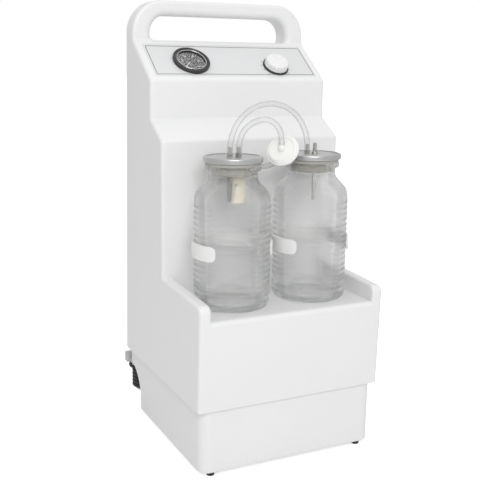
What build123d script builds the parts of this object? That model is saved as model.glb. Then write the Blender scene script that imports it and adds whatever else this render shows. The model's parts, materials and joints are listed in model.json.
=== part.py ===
from build123d import *
import math
import os

# Upright electric suction unit: a tall white moulded casing on a lower base, with two
# glass collecting jars on a shelf at the front, a sloped panel and a carrying handle.
# Millimetres, +Z up. While it is drawn, y is counted from the casing's front face and
# z from the floor. ORIGIN then puts the frame under the middle of the whole unit.

os.makedirs("parts", exist_ok=True)

# Casing
WIDTH = 345.0
CASING_DEPTH = 371.0
HEIGHT = 778.0
WALL = 4.0
RIM_Z = 118.0
SHELF_Z = 270.0
CHEEK = 20.0
CHEEK_FRONT_RISE = 27.0
CHEEK_REAR_RISE = 35.0
COLUMN_Y = 164.5
SHOULDER_LOW_Z = 542.0
SHOULDER_HIGH_Z = 574.0
UPPER_WALL_Y = 216.0
PANEL_LOW_Z = 640.5
PANEL_HIGH_Z = 708.0
PANEL_TOP_Y = 304.0
REAR_TOP_Y = 347.0
FRONT_LEAN = 5.0
EDGE_ROUND = 6.0
REAR_ROUND = 10.0
SHELF_ROUND = 8.0
CHEEK_ROUND = 4.0
CHEEK_NOSE = 13.0
NOSE_FRONT = 0.36
SOFT_CORNER = 8.0
CREASE = 4.0
RIM_FLANGE = 4.0

# Handle loop, moulded in one with the casing
HANDLE_SIDE = 34.5
HANDLE_BAR = 26.0
HANDLE_CORNER = 57.0
GRIP_CORNER = 30.0
GRIP_FOOT = 8.0
GRIP_ROUND = 11.0
GRIP_REAR_ROUND = 4.0

# Base
BASE_INSET = 7.0
BASE_LIP = 14.0
LIP_STEP = 2.0
BASE_CORNER = 18.0
REAR_CORNER = 10.0
FLOOR = 5.0
COVE_WALL_Y = 304.0
COVE_LOW_Z = 43.0
COVE_MID = (319.0, 70.0)
COVE_TOP = (348.0, 89.0)
OVERHANG_Z = 92.0
FIT = 0.3

# Feet and screws
FOOT_HEIGHT = 8.0
FOOT_RADIUS = 7.5
FOOT_INSET = 22.0
FOOT_SETBACK = 12.0
SCREW_RADIUS = 2.0
HEAD_RADIUS = 3.8
HEAD_HEIGHT = 2.4
REAR_SCREW_SPREAD = 130.0
REAR_SCREW_RISE = 11.0

# Control panel
PLATE_WIDTH = 320.0
PLATE_LENGTH = 90.0
PLATE_THICKNESS = 1.0
GAUGE_X = -81.0
GAUGE_UP = -4.5
GAUGE_RADIUS = 34.0
GAUGE_CASE_RADIUS = 30.0
GAUGE_CASE_DEPTH = 36.0
GAUGE_CAVITY = 5.0
KNOB_X = 84.0
KNOB_UP = -17.0
KNOB_RADIUS = 22.0
KNOB_HEIGHT = 12.0
KNOB_FLUTES = 18
KNOB_RING_RADIUS = 24.5
KNOB_RING_HEIGHT = 3.0
VALVE_RADIUS = 14.0
VALVE_DEPTH = 34.0
SPINDLE_RADIUS = 3.0
RUNNING = 0.05

# Jars, lids and what hangs in them
JAR_RADIUS = 65.0
JAR_HEIGHT = 237.0
JAR_SPACING = 150.6
JAR_Y = 91.0
JAR_WALL = 3.5
JAR_FLOOR = 7.0
JAR_SHOULDER = 190.0
NECK_RADIUS = 41.0
NECK_WALL = 4.5
LIP_RADIUS = 47.5
LIP_HEIGHT = 8.0
LID_RADIUS = 50.0
LID_HEIGHT = 9.0
GASKET_RADIUS = 46.0
GASKET_HEIGHT = 5.5
STOPPER_DEPTH = 16.0
BARB_HEIGHT = 15.0
BARB_RADIUS = 3.0
BARB_NUT = 5.5
TUBE_RADIUS = 4.0
DIP_LENGTH = 45.0
CAGE_RADIUS = 11.5
CAGE_HEIGHT = 43.0
CAGE_WALL = 2.0
FLOAT_TRAVEL = 10.0
PIPE_RADIUS = 3.3
PIPE_BORE = 2.2
PIPE_RISE = 17.0
PIPE_DROP = 50.0

# Jar clips on the column
CLIP_Z = 355.0
CLIP_HEIGHT = 25.0
CLIP_THICKNESS = 3.0
CLIP_REACH = 131.0
CLIP_TIP = 9.0
CLIP_PAD = 46.0
CLIP_SCREW_SPREAD = 26.0

# Hoses and the filter
HOSE_RADIUS = 4.75
HOSE_BORE = BARB_RADIUS + RUNNING
HOSE_OVERLAP = 10.0
FILTER_AT = (1.0, 60.0, 531.0)
FILTER_AXIS = (-0.657, -0.536, 0.529)
FILTER_RADIUS = 26.0
FILTER_RIM = 27.5
FILTER_HALF = 6.0
PORT_X = -16.0
PORT_Z = 497.0
PORT_LENGTH = 16.0
PORT_STUB = 6.0
TEE = 16.0

# Rear wall
SWITCH_X = 95.0
SWITCH_Z = 640.0
SWITCH_FRAME = (32.0, 26.0, 2.5)
SWITCH_DEPTH = 22.0
ROCKER_RADIUS = 8.4
ROCKER_WIDTH = 24.0
ROCKER_TILT = 7.0
ROCKER_RISE = 4.5
FUSE_X = 45.0
FUSE_RADIUS = 6.5
VENT_Z = 190.0
VENT_COUNT = 8
VENT_PITCH = 11.0
VENT_WIDTH = 110.0
VENT_HEIGHT = 4.5

# Pump on its plate
MOUNT_HEIGHT = 20.0
MOUNT_RADIUS = 10.0
PUMP_Y = 150.0
PUMP_PLATE = (270.0, 200.0, 2.5)
MOTOR_RADIUS = 50.0
MOTOR_LENGTH = 130.0
MOTOR_CLEARANCE = 5.0
SHAFT_RADIUS = 6.0
CRANKCASE_WIDTH = 34.0
CRANKCASE_DEPTH = 70.0
CRANKCASE_HEIGHT = 104.0
CYLINDER_RADIUS = 26.0
CYLINDER_HEIGHT = 30.0
HEAD_SIZE = 32.0
HEAD_THICKNESS = 12.0
FAN_RADIUS = 46.0
FAN_WIDTH = 10.0
FAN_GAP = 5.0
FAN_BLADES = 7
CAPACITOR_RADIUS = 17.5
CAPACITOR_LENGTH = 70.0
MUFFLER_RADIUS = 14.0
MUFFLER_HEIGHT = 45.0

# Mains lead and its cleats
LEAD = 7.0
TURNS = 5
TURN_PITCH = 7.4
POST_RADIUS = 19.7
POST_WAIST = 9.5
POST_X = 137.6
POST_Y = 352.5
HANK_LOW_Z = 36.0
LOOSE_Y = 364.5
LOOSE_RADIUS = 26.0
EAR_REACH = 10.0
EAR_WIDTH = 24.0
EAR_TOP_Z = 104.0
GLAND_X = 60.0
GLAND_Z = 24.0
GLAND_LENGTH = 30.0

HALF = WIDTH / 2
MOUTH_Z = SHELF_Z + JAR_HEIGHT
LID_LOW_Z = MOUTH_Z + GASKET_HEIGHT
LID_TOP_Z = LID_LOW_Z + LID_HEIGHT
STOPPER_Z = MOUTH_Z - STOPPER_DEPTH
FLOOR_Z = FOOT_HEIGHT + FLOOR
BASE_FRONT = FRONT_LEAN + WALL + FIT
TOTAL_DEPTH = CASING_DEPTH + EAR_REACH
MIDDLE_Y = (TOTAL_DEPTH + NOSE_FRONT) / 2
ORIGIN = Pos(0, -MIDDLE_Y, 0)
JAR_X = {"left": -JAR_SPACING / 2, "right": JAR_SPACING / 2}
BARB_AT = {
    "left_inlet": (JAR_X["left"] - 8.0, JAR_Y - 4.0),
    "left_outlet": (JAR_X["left"] + 8.3, JAR_Y - 4.0),
    "right_outlet": (JAR_X["right"] - 9.8, JAR_Y),
}
PIPE_AT = (JAR_X["right"] + 4.2, JAR_Y - 2.0)
TURN_RADIUS = POST_RADIUS + FIT + LEAD / 2
PARTS = {}


def keep(name, *pieces):
    """Store the pieces of one node, moved to the unit's own origin."""
    moved = [ORIGIN * piece for piece in pieces]
    PARTS[name] = moved[0] if len(moved) == 1 else Compound(children=moved)


def rear_y(z):
    """Depth of the leaning rear wall at a height."""
    return CASING_DEPTH - (CASING_DEPTH - REAR_TOP_Y) * (z - RIM_Z) / (PANEL_HIGH_Z - RIM_Z)


def front_y(z):
    """Depth of the leaning front face at a height."""
    return FRONT_LEAN * (SHELF_Z - z) / (SHELF_Z - RIM_Z)


def box(x, y, z):
    """Block between low and high limits on each axis."""
    centre = Pos(sum(x) / 2, sum(y) / 2, sum(z) / 2)
    return centre * Box(x[1] - x[0], y[1] - y[0], z[1] - z[0])


def rod(start, end, radius):
    """Round bar between two points."""
    a, b = Vector(*start), Vector(*end)
    return Plane(origin=a, z_dir=b - a) * extrude(Circle(radius), (b - a).length)


def disc(radius, low, high, at=(0, 0)):
    """Upright round piece between two heights."""
    return Pos(at[0], at[1], low) * extrude(Circle(radius), high - low)


def ring(outer, inner, low, high, at=(0, 0)):
    """Upright ring between two heights."""
    return Pos(at[0], at[1], low) * extrude(Circle(outer) - Circle(inner), high - low)


def side_slab(points, radii, half_width):
    """Outline in the YZ plane, with rounded corners, drawn out to both sides."""
    face = make_face(FilletPolyline(*points, radius=radii, close=True))
    return extrude(Plane.YZ * face, half_width, both=True)


def turned(points, radii):
    """Solid of revolution about Z from a closed outline of (radius, height) points."""
    face = make_face(FilletPolyline(*points, radius=radii, close=True))
    return revolve(Plane.XZ * face, Axis.Z)


def bend_radii(points):
    """Radius for each corner of a route, as large as its two runs allow."""
    radii = []
    for before, at, after in zip(points, points[1:], points[2:]):
        run_in, run_out = Vector(*at) - Vector(*before), Vector(*after) - Vector(*at)
        half_turn = math.radians(run_in.get_angle(run_out)) / 2
        radii.append(0.45 * min(run_in.length, run_out.length) / math.tan(half_turn))
    return radii


def hose(points, outer, bore=0.0, name=""):
    """Tube along straight runs joined by tangent arcs."""
    radii = bend_radii(points)
    path = FilletPolyline(*points, radius=radii)
    section = Circle(outer) - Circle(bore) if bore else Circle(outer)
    start = Plane(origin=points[0], z_dir=Vector(*points[1]) - Vector(*points[0]))
    solid = sweep(start * section, path=path)
    expected = math.pi * (outer**2 - bore**2) * path.length
    print(f"{name}: length {path.length:.1f}, least radius {min(radii):.1f}, volume ratio {solid.volume / expected:.4f}")
    return solid


def panel_frame():
    """Plane on the middle of the sloped panel, with its normal outwards."""
    rise, run = PANEL_HIGH_Z - PANEL_LOW_Z, PANEL_TOP_Y - UPPER_WALL_Y
    middle = (0, (UPPER_WALL_Y + PANEL_TOP_Y) / 2, (PANEL_LOW_Z + PANEL_HIGH_Z) / 2)
    return Plane(origin=middle, x_dir=(1, 0, 0), z_dir=(0, -rise, run))


def rear_frame(x, z):
    """Plane on the rear wall, with its normal outwards and its y axis up the wall."""
    lean = (CASING_DEPTH - REAR_TOP_Y) / (PANEL_HIGH_Z - RIM_Z)
    return Plane(origin=(x, rear_y(z), z), x_dir=(-1, 0, 0), z_dir=(0, 1, lean))


PANEL = panel_frame()
GAUGE = PANEL * Pos(GAUGE_X, GAUGE_UP, 0)
KNOB = PANEL * Pos(KNOB_X, KNOB_UP, 0)
SWITCH = rear_frame(SWITCH_X, SWITCH_Z)
FUSE = rear_frame(FUSE_X, SWITCH_Z)


def rim_edges(solid, rear):
    """Long side edges of the casing and handle, front ones or rear ones."""
    arch_z = HEIGHT - HANDLE_CORNER
    found = []
    for edge in solid.edges():
        size, low, mid = edge.bounding_box().size, edge.bounding_box().min, edge.center()
        on_side = size.X < FIT and abs(abs(mid.X) - HALF) < FIT
        on_arch = size.Y < FIT and low.Z > arch_z - FIT and low.Z + size.Z > HEIGHT - FIT
        across = size.Z < FIT and low.Z < arch_z + FIT
        at_rear = mid.Y > min(rear_y(mid.Z), CASING_DEPTH) - REAR_ROUND / 2
        if (on_side or on_arch) and not across and at_rear == rear:
            found.append(edge)
    return found


def grip_edges(solid, depth):
    """Edges of the grip opening on one face of the handle."""
    reach = HALF - HANDLE_SIDE + FIT
    found = []
    for edge in solid.edges():
        bounds, mid = edge.bounding_box(), edge.center()
        in_opening = abs(mid.X) < reach and bounds.max.Z < HEIGHT - HANDLE_BAR + FIT
        if bounds.size.Y < FIT and abs(mid.Y - depth) < FIT and in_opening and bounds.min.Z > PANEL_HIGH_Z - FIT:
            found.append(edge)
    return found


def casing_outer():
    """Outer form of the casing: stepped column, cheeks beside the shelf and handle."""
    arch_z = HEIGHT - HANDLE_CORNER
    points = [
        (FRONT_LEAN, RIM_Z),
        (front_y(SHELF_Z), SHELF_Z + CHEEK_FRONT_RISE),
        (COLUMN_Y, SHELF_Z + CHEEK_REAR_RISE),
        (COLUMN_Y, SHOULDER_LOW_Z),
        (UPPER_WALL_Y, SHOULDER_HIGH_Z),
        (UPPER_WALL_Y, PANEL_LOW_Z),
        (PANEL_TOP_Y, PANEL_HIGH_Z),
        (PANEL_TOP_Y, arch_z),
        (REAR_TOP_Y, arch_z),
        (REAR_TOP_Y, PANEL_HIGH_Z),
        (CASING_DEPTH, RIM_Z),
    ]
    radii = [0, CHEEK_NOSE, 0, SOFT_CORNER, CREASE, SOFT_CORNER, CREASE, 0, 0, 0, 0]
    arch = Rectangle(WIDTH, 2 * HANDLE_CORNER)
    arch = fillet(arch.vertices().group_by(Axis.Y)[-1], HANDLE_CORNER)
    arch = Pos(0, REAR_TOP_Y, arch_z) * extrude(Plane.XZ * arch, REAR_TOP_Y - PANEL_TOP_Y)
    arch &= box((-WIDTH, WIDTH), (0, 2 * WIDTH), (arch_z, HEIGHT + WALL))
    solid = side_slab(points, radii, HALF) + arch
    solid = fillet(rim_edges(solid, True), REAR_ROUND)
    solid = fillet(rim_edges(solid, False), EDGE_ROUND)
    grip = Rectangle(WIDTH - 2 * HANDLE_SIDE, HEIGHT - HANDLE_BAR - PANEL_HIGH_Z)
    grip = fillet(grip.vertices().group_by(Axis.Y)[-1], GRIP_CORNER)
    grip = fillet(grip.vertices().group_by(Axis.Y)[0], GRIP_FOOT)
    middle_z = (HEIGHT - HANDLE_BAR + PANEL_HIGH_Z) / 2
    solid -= Pos(0, PANEL_TOP_Y, middle_z) * extrude(Plane.XZ * grip, WIDTH / 2, both=True)
    solid = fillet(grip_edges(solid, PANEL_TOP_Y), GRIP_ROUND)
    start = Pos(0, REAR_TOP_Y - GRIP_REAR_ROUND, middle_z) * Plane.XZ.reverse()
    flare = extrude(start * grip, 2 * GRIP_REAR_ROUND, taper=-45)
    solid -= flare & box((-WIDTH, WIDTH), (0, WIDTH + CASING_DEPTH), (PANEL_HIGH_Z, HEIGHT))
    return open_tray(solid)


def open_tray(solid):
    """Cut the jar shelf between the cheeks and round its edges."""
    inner = HALF - CHEEK
    top_z = SHELF_Z + CHEEK_REAR_RISE
    solid -= box((-inner, inner), (-WIDTH, COLUMN_Y), (SHELF_Z, top_z + CREASE * 2))
    shelf_edges = [
        edge
        for edge in solid.edges()
        if edge.bounding_box().size.X > inner and edge.center().Y < CHEEK and abs(edge.center().Z - SHELF_Z) < FIT
    ]
    solid = fillet(shelf_edges, SHELF_ROUND)
    cheek_edges = []
    for edge in solid.edges():
        size, mid = edge.bounding_box().size, edge.center()
        on_cheek = size.X < FIT and abs(abs(mid.X) - inner) < FIT
        if on_cheek and mid.Z > SHELF_Z + FIT and mid.Y < COLUMN_Y - FIT:
            cheek_edges.append(edge)
    return fillet(cheek_edges, CHEEK_ROUND)


def casing_cavity():
    """Hollow of the casing, one wall thickness inside its outer form."""
    w = WALL
    slope = (PANEL_HIGH_Z - PANEL_LOW_Z) / (PANEL_TOP_Y - UPPER_WALL_Y)
    lift = w * math.hypot(1, slope)
    points = [
        (FRONT_LEAN + w, RIM_Z + RIM_FLANGE),
        (front_y(SHELF_Z) + w, SHELF_Z + CHEEK_FRONT_RISE - w - CREASE),
        (COLUMN_Y + w, SHELF_Z + CHEEK_REAR_RISE - w),
        (COLUMN_Y + w, SHOULDER_LOW_Z - w / 2),
        (UPPER_WALL_Y + w, SHOULDER_HIGH_Z - w / 2),
        (UPPER_WALL_Y + w, PANEL_LOW_Z - w * (math.hypot(1, slope) - slope)),
        (PANEL_TOP_Y, PANEL_HIGH_Z - lift),
        (REAR_TOP_Y - w, PANEL_HIGH_Z - lift),
        (CASING_DEPTH - w, RIM_Z + RIM_FLANGE),
    ]
    hollow = side_slab(points, [0] * len(points), HALF - w)
    hollow = fillet(hollow.faces().sort_by(Axis.Y)[-1].edges().filter_by(Axis.X, reverse=True), REAR_ROUND - w)
    inner = HALF - CHEEK + w
    hollow -= box((-inner, inner), (-WIDTH, COLUMN_Y + w), (SHELF_Z - w, SHELF_Z + CHEEK_REAR_RISE))
    return hollow + base_outline(LIP_STEP - FIT, RIM_Z - w, RIM_Z + RIM_FLANGE)


def base_outline(step, low, high):
    """Upright block with the base's rounded plan, set in by a step."""
    front, rear = BASE_FRONT + step, CASING_DEPTH - BASE_INSET - step
    width = WIDTH - 2 * (BASE_INSET + step)
    plan = Rectangle(width, rear - front)
    plan = fillet(plan.vertices().group_by(Axis.Y)[0], BASE_CORNER - step)
    plan = fillet(plan.vertices().group_by(Axis.Y)[-1], REAR_CORNER - step)
    return Pos(0, (front + rear) / 2, low) * extrude(plan, high - low)


def build_casing():
    """White casing with its handle, panel pocket, cut-outs, vents and screw bosses."""
    solid = casing_outer() - casing_cavity()
    boss_depth = CASING_DEPTH - BASE_INSET - LIP_STEP + FIT
    for x in (-REAR_SCREW_SPREAD, 0, REAR_SCREW_SPREAD):
        z = RIM_Z + REAR_SCREW_RISE
        solid += rod((x, boss_depth, z), (x, CASING_DEPTH - WALL, z), HEAD_RADIUS + 1)
        solid -= rod((x, boss_depth - WALL, z), (x, CASING_DEPTH + WALL, z), SCREW_RADIUS)
    solid -= PANEL * Pos(0, 0, -PLATE_THICKNESS) * extrude(Rectangle(PLATE_WIDTH, PLATE_LENGTH), 2 * WALL)
    through = 3 * WALL
    solid -= GAUGE * Pos(0, 0, -through) * Cylinder(GAUGE_CASE_RADIUS, 2 * through)
    solid -= KNOB * Pos(0, 0, -through) * Cylinder(PORT_STUB + 1, 2 * through)
    solid -= rod((PORT_X, COLUMN_Y - WALL, PORT_Z), (PORT_X, COLUMN_Y + through, PORT_Z), PORT_STUB)
    cut = Box(SWITCH_FRAME[0] - 4, SWITCH_FRAME[1] - 4, 4 * WALL)
    solid -= SWITCH * cut
    solid -= FUSE * Cylinder(FUSE_RADIUS, 4 * WALL)
    for side in JAR_X.values():
        for x, z in clip_screws_at(side):
            solid -= rod((x, COLUMN_Y - WALL, z), (x, COLUMN_Y + through, z), SCREW_RADIUS)
    for row in range(VENT_COUNT):
        slot = SlotOverall(VENT_WIDTH, VENT_HEIGHT)
        solid -= rear_frame(0, VENT_Z + row * VENT_PITCH) * Pos(0, 0, -2 * WALL) * extrude(slot, 4 * WALL)
    keep("casing", solid)


def clip_screws_at(x):
    """Places of the screws that hold one jar clip."""
    middle = CLIP_Z + CLIP_HEIGHT / 2
    return [(x - CLIP_SCREW_SPREAD / 2, middle), (x + CLIP_SCREW_SPREAD / 2, middle)]


def base_form(step, low):
    """Base with its cove at the rear, set in by a step, from a lower height."""
    block = base_outline(step, low, RIM_Z + BASE_LIP)
    cove_low = (COVE_WALL_Y - step, COVE_LOW_Z)
    cove_mid = (COVE_MID[0] - step * 0.7, COVE_MID[1] + step * 0.7)
    cove_top = (COVE_TOP[0] - step * 0.2, COVE_TOP[1] + step)
    back = CASING_DEPTH + WALL
    face = make_face(
        Polyline((COVE_WALL_Y - step, -WALL), cove_low)
        + ThreePointArc(cove_low, cove_mid, cove_top)
        + Polyline(cove_top, (back, OVERHANG_Z + step), (back, -WALL), (COVE_WALL_Y - step, -WALL))
    )
    return block - extrude(Plane.YZ * face, HALF + WALL, both=True)


def build_base():
    """White open-topped base with a lip that stands up inside the casing."""
    solid = base_form(0, FOOT_HEIGHT)
    collar = base_outline(0, RIM_Z, RIM_Z + 2 * BASE_LIP) - base_outline(LIP_STEP, 0, RIM_Z + 3 * BASE_LIP)
    solid -= collar
    lower = solid.edges().group_by(Axis.Z)[0]
    solid = fillet(lower, LIP_STEP)
    solid -= base_form(WALL + LIP_STEP, FLOOR_Z) + base_outline(WALL + LIP_STEP, RIM_Z, RIM_Z + 2 * BASE_LIP)
    for x in (-REAR_SCREW_SPREAD, 0, REAR_SCREW_SPREAD):
        z = RIM_Z + REAR_SCREW_RISE
        solid -= rod((x, CASING_DEPTH - 6 * WALL, z), (x, CASING_DEPTH, z), SCREW_RADIUS)
    for x, y in foot_places():
        solid -= disc(SCREW_RADIUS, 0, FLOOR_Z + WALL, (x, y))
    solid -= rod((GLAND_X, COVE_WALL_Y - 4 * WALL, GLAND_Z), (GLAND_X, COVE_WALL_Y + WALL, GLAND_Z), LEAD)
    for side in (-1, 1):
        screw = side * POST_X
        solid -= rod((screw, CASING_DEPTH - 6 * WALL, cleat_screw_z()), (screw, CASING_DEPTH, cleat_screw_z()), SCREW_RADIUS)
    keep("base_tray", solid)


def foot_places():
    """Centres of the four feet."""
    x = HALF - BASE_INSET - FOOT_INSET
    front, rear = BASE_FRONT + FOOT_SETBACK, COVE_WALL_Y - FOOT_INSET
    return [(-x, front), (x, front), (-x, rear), (x, rear)]


def pan_screw(start, end):
    """Pan-head screw whose head sits at the start and shank runs to the end."""
    a, b = Vector(*start), Vector(*end)
    along = (b - a).normalized()
    return rod(a - along * HEAD_HEIGHT, a, HEAD_RADIUS) + rod(a, b, SCREW_RADIUS)


def build_feet():
    """Rubber feet with a sunk screw up into the base's floor."""
    foot = turned(
        [(0, 0), (FOOT_RADIUS - 1, 0), (FOOT_RADIUS, FOOT_HEIGHT), (0, FOOT_HEIGHT)],
        [0, 1, 0, 0],
    )
    foot -= disc(HEAD_RADIUS + FIT, -1, HEAD_HEIGHT + 1) + disc(SCREW_RADIUS, -1, FOOT_HEIGHT + 1)
    keep("feet", *[Pos(x, y, 0) * foot for x, y in foot_places()])


def foot_screws():
    """Screws up through the feet into the base's floor."""
    return [pan_screw((x, y, HEAD_HEIGHT + 1), (x, y, FLOOR_Z + 2)) for x, y in foot_places()]


def casing_screws():
    """Screws through the rear wall into the base's lip."""
    screws = []
    for x in (-REAR_SCREW_SPREAD, 0, REAR_SCREW_SPREAD):
        z = RIM_Z + REAR_SCREW_RISE
        screws.append(pan_screw((x, CASING_DEPTH, z), (x, CASING_DEPTH - BASE_INSET - LIP_STEP - WALL, z)))
    return screws


def build_panel():
    """Printed panel plate in its pocket."""
    plate = Pos(0, 0, -PLATE_THICKNESS) * extrude(Rectangle(PLATE_WIDTH, PLATE_LENGTH), PLATE_THICKNESS)
    plate = PANEL * plate - GAUGE * Cylinder(GAUGE_CASE_RADIUS, 4 * WALL) - KNOB * Cylinder(PORT_STUB + 1, 4 * WALL)
    keep("panel_plate", plate)


def build_gauge():
    """Vacuum gauge: flanged case, dial, needle on its pin, glass and bezel."""
    flange = 2.0
    glass = 2.0
    seat = GAUGE_CASE_RADIUS - 2
    case = disc(GAUGE_CASE_RADIUS, -GAUGE_CASE_DEPTH, 0) + disc(GAUGE_RADIUS - 1, 0, flange)
    case -= disc(seat, flange - GAUGE_CAVITY, flange + 1)
    stem = disc(SHAFT_RADIUS, -GAUGE_CASE_DEPTH - 10, -GAUGE_CASE_DEPTH)
    stem += disc(BARB_RADIUS, -GAUGE_CASE_DEPTH - 24, -GAUGE_CASE_DEPTH - 10)
    keep("gauge_case", GAUGE * (case + stem))
    low = flange - GAUGE_CAVITY
    pin = disc(1, low + 1, flange - FIT)
    keep("gauge_dial", GAUGE * (disc(seat - FIT / 3, low, low + 1) + pin))
    hub = ring(3, 1 + RUNNING, low + 1 + FIT, flange - 2 * FIT)
    pointer = Polyline((-1.2, 0), (-0.4, seat - 6), (0.4, seat - 6), (1.2, 0), (1.6, -8), (-1.6, -8), close=True)
    arm = Pos(0, 0, low + 1 + 2 * FIT) * extrude(make_face(pointer), 0.8)
    arm -= disc(2, low, flange + 1)
    keep("gauge_needle", GAUGE * Rot(0, 0, NEEDLE_REST) * (hub + arm))
    keep("gauge_glass", GAUGE * disc(GAUGE_CASE_RADIUS, flange, flange + glass))
    bezel = turned(
        [
            (GAUGE_RADIUS - 1 + FIT / 3, 0),
            (GAUGE_RADIUS, 0),
            (GAUGE_RADIUS, flange + glass + 1.5),
            (seat + 2, flange + glass + 2.5),
            (seat - 1, flange + glass),
            (GAUGE_CASE_RADIUS + FIT / 3, flange + glass),
            (GAUGE_CASE_RADIUS + FIT / 3, flange),
            (GAUGE_RADIUS - 1 + FIT / 3, flange),
        ],
        [0, 0, 1.2, 0.5, 0, 0, 0, 0],
    )
    keep("gauge_bezel", GAUGE * bezel)


def build_regulator():
    """Vacuum regulator behind the panel, with its ring, spindle and knob."""
    neck = PORT_STUB + 1
    body = disc(VALVE_RADIUS, -VALVE_DEPTH, -WALL) + disc(neck, -WALL, KNOB_RING_HEIGHT)
    body -= disc(SPINDLE_RADIUS + RUNNING, -VALVE_DEPTH + 8, KNOB_RING_HEIGHT + 1)
    barb = Pos(0, 0, VALVE_BARB_Z) * Rot(0, -90, 0) * disc(BARB_RADIUS, VALVE_RADIUS - 1, VALVE_RADIUS + 14)
    body += barb - disc(VALVE_RADIUS - 1, -VALVE_DEPTH - 1, 0)
    body += disc(BARB_RADIUS, -VALVE_DEPTH - 14, -VALVE_DEPTH + 1)
    keep("regulator_body", KNOB * body)
    keep("knob_ring", KNOB * fillet(ring(KNOB_RING_RADIUS, neck, 0, KNOB_RING_HEIGHT).edges().group_by(Axis.Z)[-1][0:1], 1))
    top = KNOB_RING_HEIGHT + FIT + KNOB_HEIGHT
    spindle_top = top - 4
    keep("regulator_spindle", KNOB * disc(SPINDLE_RADIUS, -VALVE_DEPTH + 8 + FIT, spindle_top))
    knob = disc(KNOB_RADIUS, KNOB_RING_HEIGHT + FIT, top)
    knob = fillet(knob.edges().group_by(Axis.Z)[-1], 4)
    flute = disc(2.2, KNOB_RING_HEIGHT + FIT + 2, top + 1, (KNOB_RADIUS + 1.2, 0))
    for step in range(KNOB_FLUTES):
        knob -= Rot(0, 0, 360 / KNOB_FLUTES * (step + 0.5)) * flute
    knob += Pos(0, KNOB_RADIUS / 2 - 1, top - 1) * Box(3, KNOB_RADIUS - 8, 3.4)
    knob -= disc(SPINDLE_RADIUS, 0, spindle_top)
    keep("regulator_knob", KNOB * knob)


def build_jar(side):
    """Glass jar with a rounded shoulder, a neck and a bead at its mouth."""
    wall, neck = JAR_WALL, NECK_RADIUS - NECK_WALL
    drop = JAR_RADIUS - NECK_RADIUS
    outer = [
        (0, 0),
        (JAR_RADIUS, 0),
        (JAR_RADIUS, JAR_SHOULDER),
        (NECK_RADIUS, JAR_SHOULDER + drop),
        (NECK_RADIUS, JAR_HEIGHT - LIP_HEIGHT),
        (LIP_RADIUS, JAR_HEIGHT - LIP_HEIGHT),
        (LIP_RADIUS, JAR_HEIGHT),
        (0, JAR_HEIGHT),
    ]
    solid = turned(outer, [0, 9, 30, 12, 2, 2.5, 2.5, 0])
    inner_radius = JAR_RADIUS - wall
    inner = [
        (0, JAR_FLOOR),
        (inner_radius, JAR_FLOOR),
        (inner_radius, JAR_SHOULDER - wall / 2),
        (neck, JAR_SHOULDER - wall / 2 + inner_radius - neck),
        (neck, JAR_HEIGHT + 1),
        (0, JAR_HEIGHT + 1),
    ]
    solid -= turned(inner, [0, 8, 26, 14, 0, 0])
    keep(f"jar_{side}", Pos(JAR_X[side], JAR_Y, SHELF_Z) * solid)


def lid_pieces(side, holes):
    """Lid with a rolled rim and its rubber stopper, drilled for their fittings."""
    at = (JAR_X[side], JAR_Y)
    lid = disc(LID_RADIUS, LID_LOW_Z, LID_TOP_Z, at)
    lid = fillet(lid.edges().group_by(Axis.Z)[-1], 2.5)
    lid = fillet(lid.edges().group_by(Axis.Z)[0], 1.5)
    lid -= disc(LID_RADIUS - 6, LID_TOP_Z - 1.2, LID_TOP_Z + 1, at)
    stopper = disc(GASKET_RADIUS, MOUTH_Z, LID_LOW_Z, at)
    stopper += disc(NECK_RADIUS - NECK_WALL - FIT, STOPPER_Z, MOUTH_Z, at)
    stopper = fillet(stopper.edges().group_by(Axis.Z)[0], 2)
    for hole in holes:
        drill = disc(TUBE_RADIUS, STOPPER_Z - 1, LID_TOP_Z + 1, hole)
        lid -= drill
        stopper -= drill
    return lid, stopper


def build_lids():
    """Both lids with their stoppers."""
    left = lid_pieces("left", [BARB_AT["left_inlet"], BARB_AT["left_outlet"]])
    right = lid_pieces("right", [BARB_AT["right_outlet"], PIPE_AT])
    keep("lid_left", left[0])
    keep("lid_right", right[0])
    keep("stoppers", left[1], right[1])


def lid_barb(at):
    """Metal hose barb: a nut on the lid, a waist and a ribbed end, bored through."""
    base = LID_TOP_Z - 1.2
    top = LID_TOP_Z + BARB_HEIGHT
    solid = Pos(at[0], at[1], base) * extrude(RegularPolygon(BARB_NUT, 6), 6)
    solid += disc(BARB_RADIUS, base, top, at)
    solid += disc(TUBE_RADIUS, STOPPER_Z, base, at)
    solid -= disc(BARB_RADIUS - 1, STOPPER_Z - 1, top + 1, at)
    return solid


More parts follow.
